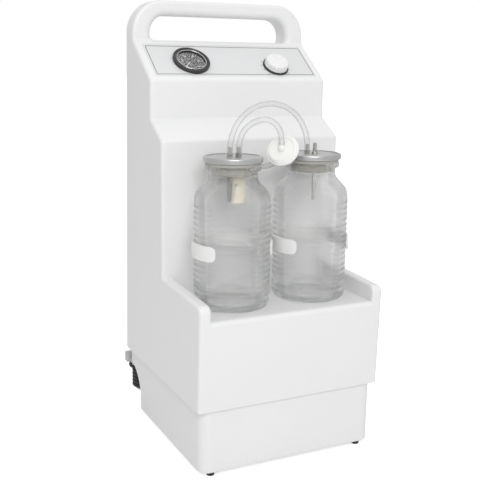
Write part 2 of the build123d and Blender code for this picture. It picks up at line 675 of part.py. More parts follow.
def build_fittings():
    """Barbs, the dip tube, the open inlet pipe and the overflow float in its cage."""
    keep("lid_barbs", *[lid_barb(at) for at in BARB_AT.values()])
    low = STOPPER_Z - DIP_LENGTH
    keep("dip_tube", ring(TUBE_RADIUS, TUBE_RADIUS - 1.5, low, STOPPER_Z, BARB_AT["left_inlet"]))
    pipe = ring(PIPE_RADIUS, PIPE_BORE, STOPPER_Z - PIPE_DROP, LID_TOP_Z + PIPE_RISE, PIPE_AT)
    pipe += ring(TUBE_RADIUS, PIPE_BORE, STOPPER_Z, LID_TOP_Z, PIPE_AT)
    pipe += ring(BARB_NUT, PIPE_BORE, LID_TOP_Z - 1.2, LID_TOP_Z + 2, PIPE_AT)
    keep("inlet_pipe", pipe)
    at = BARB_AT["left_outlet"]
    cage_low = STOPPER_Z - 3 - CAGE_HEIGHT
    inner = CAGE_RADIUS - CAGE_WALL
    cage = disc(CAGE_RADIUS, cage_low, cage_low + CAGE_HEIGHT, at) + disc(CAGE_RADIUS - 3, STOPPER_Z - 3, STOPPER_Z, at)
    cage -= disc(inner, cage_low + CAGE_WALL, STOPPER_Z - 3 - 5, at)
    cage -= disc(BARB_RADIUS - 1, STOPPER_Z - 9, STOPPER_Z + 1, at)
    cage -= disc(inner - 3, cage_low - 1, cage_low + CAGE_WALL + 1, at)
    window = box((-2.5, 2.5), (-2 * CAGE_RADIUS, 2 * CAGE_RADIUS), (cage_low + 8, cage_low + CAGE_HEIGHT - 12))
    for turn in (45, 135):
        cage -= Pos(at[0], at[1], 0) * Rot(0, 0, turn) * window
    keep("float_cage", cage)
    float_low = cage_low + CAGE_WALL
    float_top = STOPPER_Z - 8 - FLOAT_TRAVEL - FIT
    float_solid = disc(inner - FIT, float_low, float_top, at)
    float_solid = fillet(float_solid.edges(), 2)
    keep("float", float_solid)


def build_clip(side):
    """Spring clip: a band round the back of the jar on a pad against the column."""
    inner = JAR_RADIUS + FIT
    outer = inner + CLIP_THICKNESS
    at = Pos(JAR_X[side], JAR_Y, CLIP_Z)
    far = 2 * outer
    half_gap = math.radians(180 - CLIP_REACH)
    wedge = make_face(
        Polyline((0, 0), (-far * math.sin(half_gap), -far * math.cos(half_gap)), (far * math.sin(half_gap), -far * math.cos(half_gap)), close=True)
    )
    band = extrude(Circle(outer) - Circle(inner) - wedge, CLIP_HEIGHT)
    tips = [edge for edge in band.edges() if edge.length < CLIP_THICKNESS + FIT and edge.center().Y < 0]
    band = fillet(tips, CLIP_TIP)
    pad_back = COLUMN_Y - JAR_Y
    pad = box((-CLIP_PAD / 2, CLIP_PAD / 2), (inner * 0.8, pad_back), (0, CLIP_HEIGHT))
    band += pad - disc(inner, -1, CLIP_HEIGHT + 1)
    band = at * band
    for x, z in clip_screws_at(JAR_X[side]):
        band -= rod((x, COLUMN_Y - CLIP_THICKNESS, z), (x, COLUMN_Y + WALL, z), SCREW_RADIUS)
    keep(f"jar_clip_{side}", band)


def clip_screws():
    """Screws from inside the column into the pads of both clips."""
    screws = []
    for x in JAR_X.values():
        for sx, z in clip_screws_at(x):
            screws.append(pan_screw((sx, COLUMN_Y + WALL, z), (sx, COLUMN_Y - CLIP_THICKNESS, z)))
    return screws


def arch_route(start, end, rise, shape):
    """Points of a hose that stands up between two barbs, by fractions of span and rise."""
    (x0, y0, z0), (x1, y1, z1) = start, end
    route = [start]
    for along, up in shape:
        top = z0 + (z1 - z0) * along
        route.append((x0 + (x1 - x0) * along, y0 + (y1 - y0) * along, top + rise * up))
    route.append(end)
    return route


def filter_point(along, up=0.0):
    """Point on the filter's axis, counted from its middle, with a rise in z."""
    axis = Vector(*FILTER_AXIS).normalized()
    point = Vector(*FILTER_AT) + axis * along
    return (point.X, point.Y, point.Z + up)


def build_filter():
    """Round filter in two halves, with an upright inlet barb and an angled outlet."""
    frame = Plane(origin=FILTER_AT, z_dir=FILTER_AXIS)
    half = [
        (0, 0),
        (FILTER_RIM, 0),
        (FILTER_RIM, 1.5),
        (FILTER_RADIUS, 1.5),
        (FILTER_RADIUS - 2, FILTER_HALF - 1),
        (7, FILTER_HALF),
        (0, FILTER_HALF),
    ]
    shell = turned(half, [0, 0, 0, 0, 2, 0, 0])
    front = frame * (shell + disc(6, FILTER_HALF - 1, FILTER_HALF + 2))
    hub = filter_point(FILTER_HALF + 2)
    elbow = (hub[0], hub[1], hub[2])
    front += Pos(*elbow) * Sphere(5.5)
    front += rod(elbow, (elbow[0], elbow[1], elbow[2] + 6), 5)
    front += rod(elbow, (elbow[0], elbow[1], elbow[2] + 14), BARB_RADIUS)
    keep("filter_front", front)
    back = frame * Rot(180, 0, 0) * (shell + disc(6, FILTER_HALF - 1, FILTER_HALF + 2))
    corner = Vector(*filter_point(-FILTER_HALF - 4))
    out = Vector(*OUTLET_DIR).normalized()
    back += Pos(*corner) * Sphere(5.5)
    back += rod(corner, corner + out * 7, 5)
    back += rod(corner, corner + out * 16, BARB_RADIUS)
    keep("filter_back", back)


def build_hoses():
    """Clear hoses from jar to jar, to the filter and on to the column's port."""
    foot = LID_TOP_Z + BARB_HEIGHT - HOSE_OVERLAP
    inlet, outlet = BARB_AT["left_inlet"], BARB_AT["left_outlet"]
    right = BARB_AT["right_outlet"]
    route = arch_route((*inlet, foot), (*right, foot), TRANSFER_RISE, ARCH)
    keep("transfer_hose", hose(route, HOSE_RADIUS, HOSE_BORE, "transfer hose"))
    elbow = filter_point(FILTER_HALF + 2, 6.0)
    route = arch_route((*outlet, foot), elbow, FILTER_RISE, FILTER_ARCH)
    keep("filter_hose", hose(route, HOSE_RADIUS, HOSE_BORE, "filter hose"))
    corner = Vector(*filter_point(-FILTER_HALF - 4))
    out = Vector(*OUTLET_DIR).normalized()
    first, second = corner + out * 7, corner + out * 26
    route = [tuple(first), tuple(second), *PORT_ROUTE, (PORT_X, COLUMN_Y - 3.0, PORT_Z)]
    keep("port_hose", hose(route, HOSE_RADIUS, HOSE_BORE, "port hose"))


def build_port():
    """Suction port through the column wall, with its nut and the tee behind it."""
    front = COLUMN_Y - PORT_LENGTH
    inside = COLUMN_Y + WALL + 12
    port = rod((PORT_X, front, PORT_Z), (PORT_X, COLUMN_Y, PORT_Z), BARB_RADIUS)
    port += rod((PORT_X, COLUMN_Y - 3, PORT_Z), (PORT_X, COLUMN_Y, PORT_Z), 10)
    port += rod((PORT_X, COLUMN_Y, PORT_Z), (PORT_X, inside, PORT_Z), PORT_STUB)
    port -= rod((PORT_X, front - 1, PORT_Z), (PORT_X, inside + 1, PORT_Z), BARB_RADIUS - 1)
    keep("suction_port", port)
    nut = Plane(origin=(PORT_X, COLUMN_Y + WALL, PORT_Z), z_dir=(0, 1, 0))
    keep("port_nut", nut * extrude(RegularPolygon(PORT_STUB + 5, 6) - Circle(PORT_STUB), 5))
    tee = box((PORT_X - TEE / 2, PORT_X + TEE / 2), (inside, inside + TEE), (PORT_Z - TEE / 2, PORT_Z + TEE / 2))
    middle = inside + TEE / 2
    tee += disc(BARB_RADIUS, PORT_Z - TEE / 2 - 12, PORT_Z + TEE / 2 + 12, (PORT_X, middle))
    keep("port_tee", tee)


def build_inner_tubes():
    """Tubes inside the casing, from pump to tee, tee to regulator, regulator to gauge."""
    middle = COLUMN_Y + WALL + 12 + TEE / 2
    top = head_top_z()
    pump_x = -cylinder_x()
    route = [
        (pump_x, PUMP_Y, top + 4),
        (pump_x, PUMP_Y, top + 34),
        (pump_x + 4, PUMP_Y + 40, top + 58),
        (pump_x + 10, middle + 22, top + 100),
        (pump_x + 30, middle + 26, top + 170),
        (PORT_X - 6, middle + 8, PORT_Z - 70),
        (PORT_X, middle, PORT_Z - 36),
        (PORT_X, middle, PORT_Z - TEE / 2),
    ]
    keep("pump_tube", hose(route, HOSE_RADIUS, HOSE_BORE, "pump tube"))
    end = (KNOB * Pos(0, 0, -VALVE_DEPTH)).position
    before = (KNOB * Pos(0, 0, -VALVE_DEPTH - 34)).position
    route = [
        (PORT_X, middle, PORT_Z + TEE / 2),
        (PORT_X, middle, PORT_Z + TEE / 2 + 25),
        (PORT_X + 4, middle + 52, PORT_Z + TEE / 2 + 52),
        (PORT_X + 24, middle + 80, PORT_Z + TEE / 2 + 72),
        (KNOB_X - 30, before.Y + 16, before.Z - 32),
        (KNOB_X, before.Y + 14, before.Z - 20),
        tuple(before),
        tuple(end),
    ]
    keep("regulator_tube", hose(route, HOSE_RADIUS, HOSE_BORE, "regulator tube"))
    local = [
        (GAUGE_X, GAUGE_UP, -GAUGE_CASE_DEPTH - 10),
        (GAUGE_X, GAUGE_UP, -GAUGE_CASE_DEPTH - 34),
        (GAUGE_X + 26, GAUGE_UP - 4, -GAUGE_CASE_DEPTH - 50),
        (GAUGE_X + 62, GAUGE_UP - 8, -GAUGE_CASE_DEPTH - 42),
        (KNOB_X - VALVE_RADIUS - 52, KNOB_UP, VALVE_BARB_Z - 12),
        (KNOB_X - VALVE_RADIUS - 26, KNOB_UP, VALVE_BARB_Z),
        (KNOB_X - VALVE_RADIUS, KNOB_UP, VALVE_BARB_Z),
    ]
    route = [tuple((PANEL * Pos(*point)).position) for point in local]
    keep("gauge_tube", hose(route, HOSE_RADIUS, HOSE_BORE, "gauge tube"))


def build_switch():
    """Rocker switch in its frame on the rear wall, and the fuse holder beside it."""
    width, height, thick = SWITCH_FRAME
    frame = Pos(0, 0, 0) * extrude(Rectangle(width, height), thick)
    frame += Pos(0, 0, -SWITCH_DEPTH) * extrude(Rectangle(width - 4, height - 4), SWITCH_DEPTH)
    pocket = 2 * (ROCKER_RADIUS + FIT)
    frame -= Pos(0, 0, -ROCKER_RADIUS - FIT) * extrude(Rectangle(ROCKER_WIDTH + 2 * FIT, pocket), SWITCH_DEPTH)
    axle = Rot(0, 90, 0) * Cylinder(1, ROCKER_WIDTH + 4)
    keep("switch_frame", SWITCH * (frame + axle))
    rocker = Rot(0, 90, 0) * Cylinder(ROCKER_RADIUS, ROCKER_WIDTH)
    tall = 4 * ROCKER_RADIUS
    for turn in (-ROCKER_TILT, ROCKER_TILT):
        cap = Pos(0, math.copysign(tall / 2, -turn), ROCKER_RISE + tall / 2) * Box(2 * ROCKER_WIDTH, tall, tall)
        rocker -= Rot(turn, 0, 0) * cap
    rocker -= Rot(0, 90, 0) * Cylinder(1 + RUNNING, 2 * ROCKER_WIDTH)
    keep("power_rocker", SWITCH * Rot(ROCKER_TILT, 0, 0) * rocker)
    holder = disc(FUSE_RADIUS, -30, 0) + disc(FUSE_RADIUS + 2, 0, 3)
    cap = disc(FUSE_RADIUS - 0.5, 3, 8)
    cap -= Pos(0, 0, 8) * Box(2 * FUSE_RADIUS, 1.5, 2)
    keep("fuse_holder", FUSE * (holder + cap))


def plate_top():
    """Height of the pump plate's upper face."""
    return FLOOR_Z + MOUNT_HEIGHT + PUMP_PLATE[2]


def shaft_z():
    """Height of the pump shaft."""
    return plate_top() + MOTOR_RADIUS + MOTOR_CLEARANCE


def head_top_z():
    """Height of the top of the cylinder heads."""
    return shaft_z() + CRANKCASE_HEIGHT / 2 + CYLINDER_HEIGHT + HEAD_THICKNESS


def cylinder_x():
    """Distance of each cylinder from the middle."""
    return MOTOR_LENGTH / 2 + CRANKCASE_WIDTH / 2


def along_x(low, high, radius, z):
    """Round bar along X through the pump's shaft line."""
    return rod((low, PUMP_Y, z), (high, PUMP_Y, z), radius)


def build_pump_plate():
    """Steel plate on four rubber mounts, carrying motor, pump and capacitor."""
    width, depth, thick = PUMP_PLATE
    low = FLOOR_Z + MOUNT_HEIGHT
    plate = Pos(0, PUMP_Y + 15, low) * extrude(RectangleRounded(width, depth, 12), thick)
    mounts = []
    for x in (-width / 2 + 18, width / 2 - 18):
        for y in (-depth / 2 + 18, depth / 2 - 18):
            at = (x, PUMP_Y + 15 + y)
            mounts.append(
                Pos(at[0], at[1], FLOOR_Z)
                * turned(
                    [(0, 0), (MOUNT_RADIUS, 0), (MOUNT_RADIUS - 2, MOUNT_HEIGHT / 2), (MOUNT_RADIUS, MOUNT_HEIGHT), (0, MOUNT_HEIGHT)],
                    [0, 0, 6, 0, 0],
                )
            )
    keep("pump_plate", plate)
    keep("rubber_mounts", *mounts)


def build_motor():
    """Motor between two crankcases, each with a cylinder and a bolted head."""
    z = shaft_z()
    half = MOTOR_LENGTH / 2
    motor = along_x(-half, half, MOTOR_RADIUS, z)
    for step in range(12):
        angle = math.radians(30 * step + 15)
        y, dz = (MOTOR_RADIUS + 1) * math.sin(angle), (MOTOR_RADIUS + 1) * math.cos(angle)
        motor -= rod((-half + 8, PUMP_Y + y, z + dz), (half - 8, PUMP_Y + y, z + dz), 3)
    foot = box((-half + 15, half - 15), (PUMP_Y - 38, PUMP_Y + 38), (plate_top(), z))
    motor += foot - along_x(-half, half, MOTOR_RADIUS - 2, z) - box((-half + 30, half - 30), (0, WIDTH), (plate_top() + 4, z))
    motor -= along_x(-half - 1, half + 1, SHAFT_RADIUS + RUNNING, z)
    keep("pump_motor", motor)
    cases, cylinders, heads, bolts = [], [], [], []
    for sign in (-1, 1):
        x = sign * cylinder_x()
        low = z - CRANKCASE_HEIGHT / 2
        case = Pos(x, PUMP_Y, low) * extrude(RectangleRounded(CRANKCASE_WIDTH, CRANKCASE_DEPTH, 6), CRANKCASE_HEIGHT)
        case -= along_x(x - CRANKCASE_WIDTH, x + CRANKCASE_WIDTH, SHAFT_RADIUS + RUNNING, z)
        cases.append(case)
        top = low + CRANKCASE_HEIGHT
        cylinder = disc(CYLINDER_RADIUS - 4, top, top + CYLINDER_HEIGHT, (x, PUMP_Y))
        for fin in range(5):
            at = top + 2 + fin * (CYLINDER_HEIGHT - 4) / 4
            cylinder += disc(CYLINDER_RADIUS, at - 1.2, at + 1.2, (x, PUMP_Y))
        cylinders.append(cylinder)
        head_low = top + CYLINDER_HEIGHT
        head = Pos(x, PUMP_Y, head_low) * extrude(RectangleRounded(2 * HEAD_SIZE, 2 * HEAD_SIZE, 8), HEAD_THICKNESS)
        head += disc(BARB_RADIUS, head_low + HEAD_THICKNESS, head_low + HEAD_THICKNESS + 16, (x, PUMP_Y))
        for bx in (-HEAD_SIZE + 9, HEAD_SIZE - 9):
            for by in (-HEAD_SIZE + 9, HEAD_SIZE - 9):
                place = (x + bx, PUMP_Y + by)
                head -= disc(SCREW_RADIUS, head_low, head_low + HEAD_THICKNESS + 1, place)
                bolt = disc(SCREW_RADIUS, head_low, head_low + HEAD_THICKNESS, place)
                bolts.append(bolt + disc(HEAD_RADIUS, head_low + HEAD_THICKNESS, head_low + HEAD_THICKNESS + 3, place))
        heads.append(head)
    keep("crankcases", *cases)
    keep("cylinders", *cylinders)
    keep("cylinder_heads", *heads)
    keep("head_bolts", *bolts)


def build_rotor():
    """Pump shaft with a cooling fan outside each crankcase."""
    z = shaft_z()
    inner = cylinder_x() + CRANKCASE_WIDTH / 2 + FAN_GAP
    reach = inner + FAN_WIDTH + 2
    keep("pump_shaft", along_x(-reach, reach, SHAFT_RADIUS, z))
    fans = []
    for sign in (-1, 1):
        low, high = sorted((sign * inner, sign * (inner + FAN_WIDTH)))
        fan = along_x(low, high, 14, z)
        blade = Pos(0, FAN_RADIUS / 2 + 5, 0) * Rot(0, 35 * sign, 0) * Box(1.6, FAN_RADIUS - 10, FAN_WIDTH)
        turn_to = Plane(origin=((low + high) / 2, PUMP_Y, z), x_dir=(0, 1, 0), z_dir=(1, 0, 0))
        for step in range(FAN_BLADES):
            fan += Location(turn_to) * Rot(0, 0, 360 / FAN_BLADES * step) * Rot(90, 0, 90) * blade
        fan -= along_x(low - 1, high + 1, SHAFT_RADIUS, z)
        fans.append(fan)
    keep("fans", *fans)


def build_electrics():
    """Capacitor in its strap, and the exhaust muffler."""
    y = PUMP_Y + 15 + PUMP_PLATE[1] / 2 - 28
    z = plate_top() + CAPACITOR_RADIUS + 2
    half = CAPACITOR_LENGTH / 2
    keep("capacitor", rod((-half, y, z), (half, y, z), CAPACITOR_RADIUS))
    strap = rod((-7, y, z), (7, y, z), CAPACITOR_RADIUS + 2) + box((-7, 7), (y - 26, y + 22), (plate_top(), plate_top() + 2))
    strap -= rod((-8, y, z), (8, y, z), CAPACITOR_RADIUS)
    keep("capacitor_strap", strap)
    at = (cylinder_x(), PUMP_Y)
    low = head_top_z() + 4
    muffler = disc(MUFFLER_RADIUS, low, low + MUFFLER_HEIGHT, at)
    muffler = fillet(muffler.edges(), 3)
    muffler -= disc(BARB_RADIUS, low - 1, low + 12, at)
    keep("exhaust_muffler", muffler)


def cleat_screw_z():
    """Height of the screw through each cleat's ear."""
    return (OVERHANG_Z + EAR_TOP_Z) / 2


def stadium(x_reach, y, radius, low, high):
    """Upright block with half-round ends to left and right."""
    plan = SlotCenterToCenter(2 * x_reach, 2 * radius)
    return Pos(0, y, low) * extrude(plan, high - low)


def top_turn_z():
    """Height of the underside of the loose top turn of the lead."""
    return HANK_LOW_Z + TURNS * TURN_PITCH


def build_cleats():
    """Grey cleats under the rear overhang: a post, a toe and an ear behind the base."""
    post_low = HANK_LOW_Z - FIT - 4
    for side, sign in (("left", -1), ("right", 1)):
        x = sign * POST_X
        cleat = disc(POST_RADIUS, post_low, OVERHANG_Z + 2, (x, POST_Y))
        toe = sorted((x - sign * 34, x))
        cleat += box(toe, (POST_Y - 28, POST_Y + 28), (post_low, post_low + 4))
        plate = sorted((x - sign * 20, sign * (HALF - BASE_INSET)))
        cleat += box(plate, (POST_Y - 14, CASING_DEPTH - BASE_INSET), (OVERHANG_Z - 7, OVERHANG_Z + 2))
        ear_x = sorted((x - sign * EAR_WIDTH / 2, sign * (HALF - FIT)))
        ear_y = (CASING_DEPTH - BASE_INSET, TOTAL_DEPTH)
        ear = box(ear_x, ear_y, (OVERHANG_Z - 7, EAR_TOP_Z))
        outer = [edge for edge in ear.edges() if edge.center().Y > TOTAL_DEPTH - FIT]
        cleat += fillet(outer, 5)
        waist = top_turn_z()
        cleat -= ring(POST_RADIUS + 1, POST_WAIST, waist - FIT, waist + LEAD + FIT, (x, POST_Y))
        cleat -= base_form(0, FOOT_HEIGHT)
        z = cleat_screw_z()
        cleat -= rod((x, ear_y[0] + 6, z), (x, TOTAL_DEPTH + 1, z), HEAD_RADIUS + FIT)
        cleat -= rod((x, ear_y[0] - 6, z), (x, TOTAL_DEPTH, z), SCREW_RADIUS)
        keep(f"cord_cleat_{side}", cleat)


def cleat_screws():
    """Screws through the cleats' ears into the base."""
    screws = []
    for sign in (-1, 1):
        x, z = sign * POST_X, cleat_screw_z()
        start = CASING_DEPTH - BASE_INSET + 6
        screws.append(pan_screw((x, start, z), (x, start - 12, z)))
    return screws


def build_lead():
    """Mains lead: gland, first stretch, the turns wound on the cleats, and its plug."""
    gland = turned(
        [(0, 0), (8.5, 0), (8.5, 4), (5.8, GLAND_LENGTH), (0, GLAND_LENGTH)],
        [0, 0, 2, 0, 0],
    )
    gland += disc(LEAD - FIT / 3, -4 * WALL, 0)
    gland -= disc(LEAD / 2, -4 * WALL - 1, GLAND_LENGTH + 1)
    out = Plane(origin=(GLAND_X, COVE_WALL_Y, GLAND_Z), z_dir=(0, 1, 0))
    keep("lead_gland", out * gland)
    top = top_turn_z()
    outer, inner = TURN_RADIUS + LEAD / 2, TURN_RADIUS - LEAD / 2
    hank = stadium(POST_X, POST_Y, outer, HANK_LOW_Z, top) - stadium(POST_X, POST_Y, inner, HANK_LOW_Z - 1, top + 1)
    outer, inner = LOOSE_RADIUS + LEAD / 2, LOOSE_RADIUS - LEAD / 2
    loose = stadium(POST_X, LOOSE_Y, outer, top, top + LEAD) - stadium(POST_X, LOOSE_Y, inner, top - 1, top + LEAD + 1)
    hank += loose
    keep("mains_lead_hank", hank)
    face = (GLAND_X, COVE_WALL_Y + GLAND_LENGTH, GLAND_Z)
    first = hose([face, *LEAD_ROUTE], LEAD / 2, 0.0, "mains lead") - hank
    keep("mains_lead", max(first.solids(), key=lambda piece: piece.volume))
    tail = hose(TAIL_ROUTE, LEAD / 2, 0.0, "lead tail") - hank
    keep("mains_lead_tail", max(tail.solids(), key=lambda piece: piece.volume))
    end_x, y, z = TAIL_ROUTE[-1]
    plug = Pos(end_x - 36, y, z) * Rot(0, 90, 0) * extrude(RectangleRounded(24, 2 * (TURN_RADIUS - LEAD / 2 - FIT), 8), 24)
    plug += rod((end_x - 12, y, z), (end_x, y, z), 6)
    pins = []
    for offset in (-9.5, 9.5):
        plug -= rod((end_x - 37, y + offset, z), (end_x - 30, y + offset, z), 2.4)
        pins.append(rod((end_x - 55, y + offset, z), (end_x - 30, y + offset, z), 2.4))
    keep("mains_plug", plug)
    keep("plug_pins", *pins)


# Rest angles, small places and the hand-picked routes
NEEDLE_REST = 135.0
VALVE_BARB_Z = -22.0
TRANSFER_RISE = 79.5
FILTER_RISE = 47.0
ARCH = [(0.0, 0.315), (0.135, 0.755), (0.37, 1.0), (0.64, 1.0), (0.87, 0.74), (1.0, 0.305)]
FILTER_ARCH = [(0.0, 0.42), (0.135, 0.8), (0.37, 1.0), (0.64, 1.0), (0.87, 0.76), (1.0, 0.36)]
OUTLET_DIR = (-0.18, 0.73, -0.65)
PORT_ROUTE = [(-5.0, 106.0, 499.0), (-16.0, 136.0, 497.0)]
LEAD_ROUTE = [
    (60.0, 352.0, 24.5),
    (51.0, 370.0, 27.5),
    (34.0, 381.5, 32.0),
    (8.0, 386.0, 39.0),
    (-26.0, 376.0, 45.0),
]
TAIL_ROUTE = [
    (134.0, 390.5, 76.6),
    (106.0, 389.0, 76.6),
    (84.0, 379.0, 76.8),
    (68.0, 364.0, 75.0),
    (50.0, 352.5, 60.0),
    (28.0, 352.5, 60.0),
]


def build_all():
    """Make every node of the unit."""
    build_casing()
    build_base()
    build_feet()
    build_panel()
    build_gauge()
    build_regulator()
    for side in JAR_X:
        build_jar(side)
        build_clip(side)
    build_lids()
    build_fittings()
    build_filter()
    build_hoses()
    build_port()
    build_inner_tubes()
    build_switch()
    build_pump_plate()
    build_motor()
    build_rotor()
    build_electrics()
    build_cleats()
    build_lead()
    keep("screws", *foot_screws(), *casing_screws(), *clip_screws(), *cleat_screws())


build_all()
for node, shape in PARTS.items():
    export_step(shape, f"parts/{node}.step")
print(len(PARTS), "nodes")
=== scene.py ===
"""Dressed scene of an upright electric suction unit with two glass collecting jars.

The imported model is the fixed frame. This script gives its nodes their finishes, adds the
ribbed jars, the marks on the panel and the dial, the filter's rings, the hoses, the wound
mains lead and a bare plate behind, and sets the camera and the light. Sizes are in
millimetres as the unit was drawn, with y counted from the casing's front face, and ``at``
turns them into metres in the unit's own frame.
"""

import json
import logging
import math
from dataclasses import dataclass, field
from enum import Enum

import bpy
from mathutils import Matrix, Vector

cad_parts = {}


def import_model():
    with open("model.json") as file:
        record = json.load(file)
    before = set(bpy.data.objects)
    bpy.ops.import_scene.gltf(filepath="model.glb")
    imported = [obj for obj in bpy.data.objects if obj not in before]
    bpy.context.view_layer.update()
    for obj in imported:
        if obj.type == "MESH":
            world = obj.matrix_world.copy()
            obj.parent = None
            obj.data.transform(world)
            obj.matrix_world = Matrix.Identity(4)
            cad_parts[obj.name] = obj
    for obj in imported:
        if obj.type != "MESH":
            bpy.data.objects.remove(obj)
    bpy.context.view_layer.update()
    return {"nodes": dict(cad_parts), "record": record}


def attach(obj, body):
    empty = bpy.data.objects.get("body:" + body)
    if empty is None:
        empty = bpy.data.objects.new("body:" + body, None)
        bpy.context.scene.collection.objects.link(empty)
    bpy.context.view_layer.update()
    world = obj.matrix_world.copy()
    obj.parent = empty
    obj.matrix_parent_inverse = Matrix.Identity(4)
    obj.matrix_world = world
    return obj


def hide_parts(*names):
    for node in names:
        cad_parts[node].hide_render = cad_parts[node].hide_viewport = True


# The drawn y that stands over the frame's origin
MIDDLE_Y = 190.68
MILLIMETRES = 1000.0
LOG = logging.getLogger("suction_unit")

Point = tuple[float, float, float]
Colour = tuple[float, float, float]
Outline = list[tuple[float, float]]

# The round filter's middle and the way its front face looks
FILTER_CENTRE: Point = (1.0, 60.0, 531.0)
FILTER_AXIS: Point = (-0.657, -0.536, 0.529)

# Round forms stay sharp at edges above this angle, in degrees
ROUND_EDGE = 60.0
JAR_EDGE = 50.0

# The jar's outline as radius and height, without its plain wall and its ribs
JAR_FOOT: Outline = [(0.0, 1.5), (46.0, 1.5), (50.0, 0.0), (56.0, 0.0), (60.5, 1.2), (63.5, 4.6)]
JAR_SHOULDER: Outline = [
    (63.6, 184.5), (60.4, 192.0), (55.4, 198.6), (49.5, 204.6), (45.0, 209.4), (42.2, 214.0),
]
JAR_MOUTH: Outline = [
    (41.0, 219.0), (41.0, 228.2), (42.0, 229.0), (46.2, 229.0), (47.5, 230.6), (47.5, 235.4),
    (46.0, 237.0), (38.0, 237.0), (36.5, 235.4), (36.5, 220.0),
]
JAR_INSIDE: Outline = [
    (37.8, 213.6), (41.4, 207.4), (47.0, 201.4), (52.6, 195.6), (57.2, 189.0), (60.4, 181.4),
    (61.2, 174.0), (61.2, 16.0), (59.4, 10.4), (55.0, 7.6), (48.0, 7.0), (0.0, 7.0),
]

# One rib as height from its middle and share of its rise
JAR_RIB: Outline = [(-2.2, 0.0), (-1.1, 0.65), (0.0, 1.0), (1.1, 0.65), (2.2, 0.0)]

# How a hose arches between two barbs, as shares of its span and of its rise
TALL_ARCH: Outline = [(0.0, 0.315), (0.135, 0.755), (0.37, 1.0), (0.64, 1.0), (0.87, 0.74), (1.0, 0.305)]
LOW_ARCH: Outline = [(0.0, 0.42), (0.135, 0.8), (0.37, 1.0), (0.64, 1.0), (0.87, 0.76), (1.0, 0.36)]


def metres(length: float) -> float:
    """Turn a length in millimetres into metres."""
    return length / MILLIMETRES


def at(x: float, y: float, z: float) -> Vector:
    """Turn a drawn place in millimetres into metres in the unit's frame."""
    return Vector((x, y - MIDDLE_Y, z)) / MILLIMETRES


def along(points: list[Point]) -> list[Vector]:
    """Turn a route of drawn places into metres in the unit's frame."""
    return [at(*point) for point in points]


def clear_selection() -> None:
    """Leave edit mode and select nothing."""
    if bpy.context.object and bpy.context.object.mode != "OBJECT":
        bpy.ops.object.mode_set(mode="OBJECT")
    bpy.ops.object.select_all(action="DESELECT")


def settle(piece: bpy.types.Object) -> bpy.types.Object:
    """Put a piece's place into its mesh and leave its object at the origin.

    Args:
        piece: The finished mesh object.

    Returns:
        The same object.
    """
    clear_selection()
    piece.select_set(True)
    bpy.context.view_layer.objects.active = piece
    bpy.ops.object.transform_apply(location=True, rotation=True, scale=True)
    clear_selection()
    return piece


def smooth(piece: bpy.types.Object, degrees: float) -> None:
    """Shade a piece smooth except at edges sharper than an angle."""
    clear_selection()
    piece.select_set(True)
    bpy.context.view_layer.objects.active = piece
    bpy.ops.object.shade_smooth_by_angle(angle=math.radians(degrees))
    clear_selection()


def finish_modifiers(piece: bpy.types.Object) -> None:
    """Apply every modifier of a piece, in order."""
    clear_selection()
    piece.select_set(True)
    bpy.context.view_layer.objects.active = piece
    for modifier in list(piece.modifiers):
        bpy.ops.object.modifier_apply(modifier=modifier.name)
    clear_selection()


def join(pieces: list[bpy.types.Object], name: str) -> bpy.types.Object:
    """Join several meshes into one named piece.

    Args:
        pieces: The meshes to join.
        name: The name of the joined piece.

    Returns:
        The joined object.
    """
    clear_selection()
    for piece in pieces:
        piece.select_set(True)
    bpy.context.view_layer.objects.active = pieces[0]
    if len(pieces) > 1:
        bpy.ops.object.join()
    pieces[0].name = name
    clear_selection()
    return pieces[0]


def lathe(name: str, profile: Outline, centre: Vector, steps: int) -> bpy.types.Object:
    """Turn a profile of (radius, height) points in metres about an upright axis.

    Args:
        name: The piece's name.
        profile: The points of the profile, in order.
        centre: The foot of the axis.
        steps: How many steps make one turn.

    Returns:
        The turned mesh, closed and with its faces outwards.
    """
    clear_selection()
    bpy.ops.mesh.primitive_plane_add(size=0.001, location=(0, 0, 0))
    piece = bpy.context.object
    piece.name = name
    bpy.ops.object.mode_set(mode="EDIT")
    bpy.ops.mesh.select_all(action="SELECT")
    bpy.ops.mesh.merge(type="CENTER")
    radius, height = profile[0]
    bpy.ops.transform.translate(value=(centre.x + radius, centre.y, centre.z + height))
    for before, after in zip(profile, profile[1:]):
        step = (after[0] - before[0], 0.0, after[1] - before[1])
        bpy.ops.mesh.extrude_region_move(TRANSFORM_OT_translate={"value": step})
    bpy.ops.mesh.select_all(action="SELECT")
    bpy.ops.mesh.spin(steps=steps, angle=math.tau, center=centre, axis=(0, 0, 1))
    bpy.ops.mesh.select_all(action="SELECT")
    bpy.ops.mesh.remove_doubles(threshold=0.00001)
    bpy.ops.mesh.normals_make_consistent(inside=False)
    bpy.ops.object.mode_set(mode="OBJECT")
    clear_selection()
    return piece


def bead_ring(radius: float, bead: float, place: Matrix, steps: tuple[int, int]) -> bpy.types.Object:
    """Ring of round wire.

    Args:
        radius: The radius of the wire's middle line, in millimetres.
        bead: The radius of the wire, in millimetres.
        place: The ring's middle, with its axis along z.
        steps: How many steps go round the ring, and how many round the wire.

    Returns:
        The mesh object.
    """
    clear_selection()
    bpy.ops.mesh.primitive_torus_add(
        major_radius=metres(radius),
        minor_radius=metres(bead),
        major_segments=steps[0],
        minor_segments=steps[1],
    )
    ring = bpy.context.object
    ring.matrix_world = place
    smooth(ring, ROUND_EDGE)
    return settle(ring)


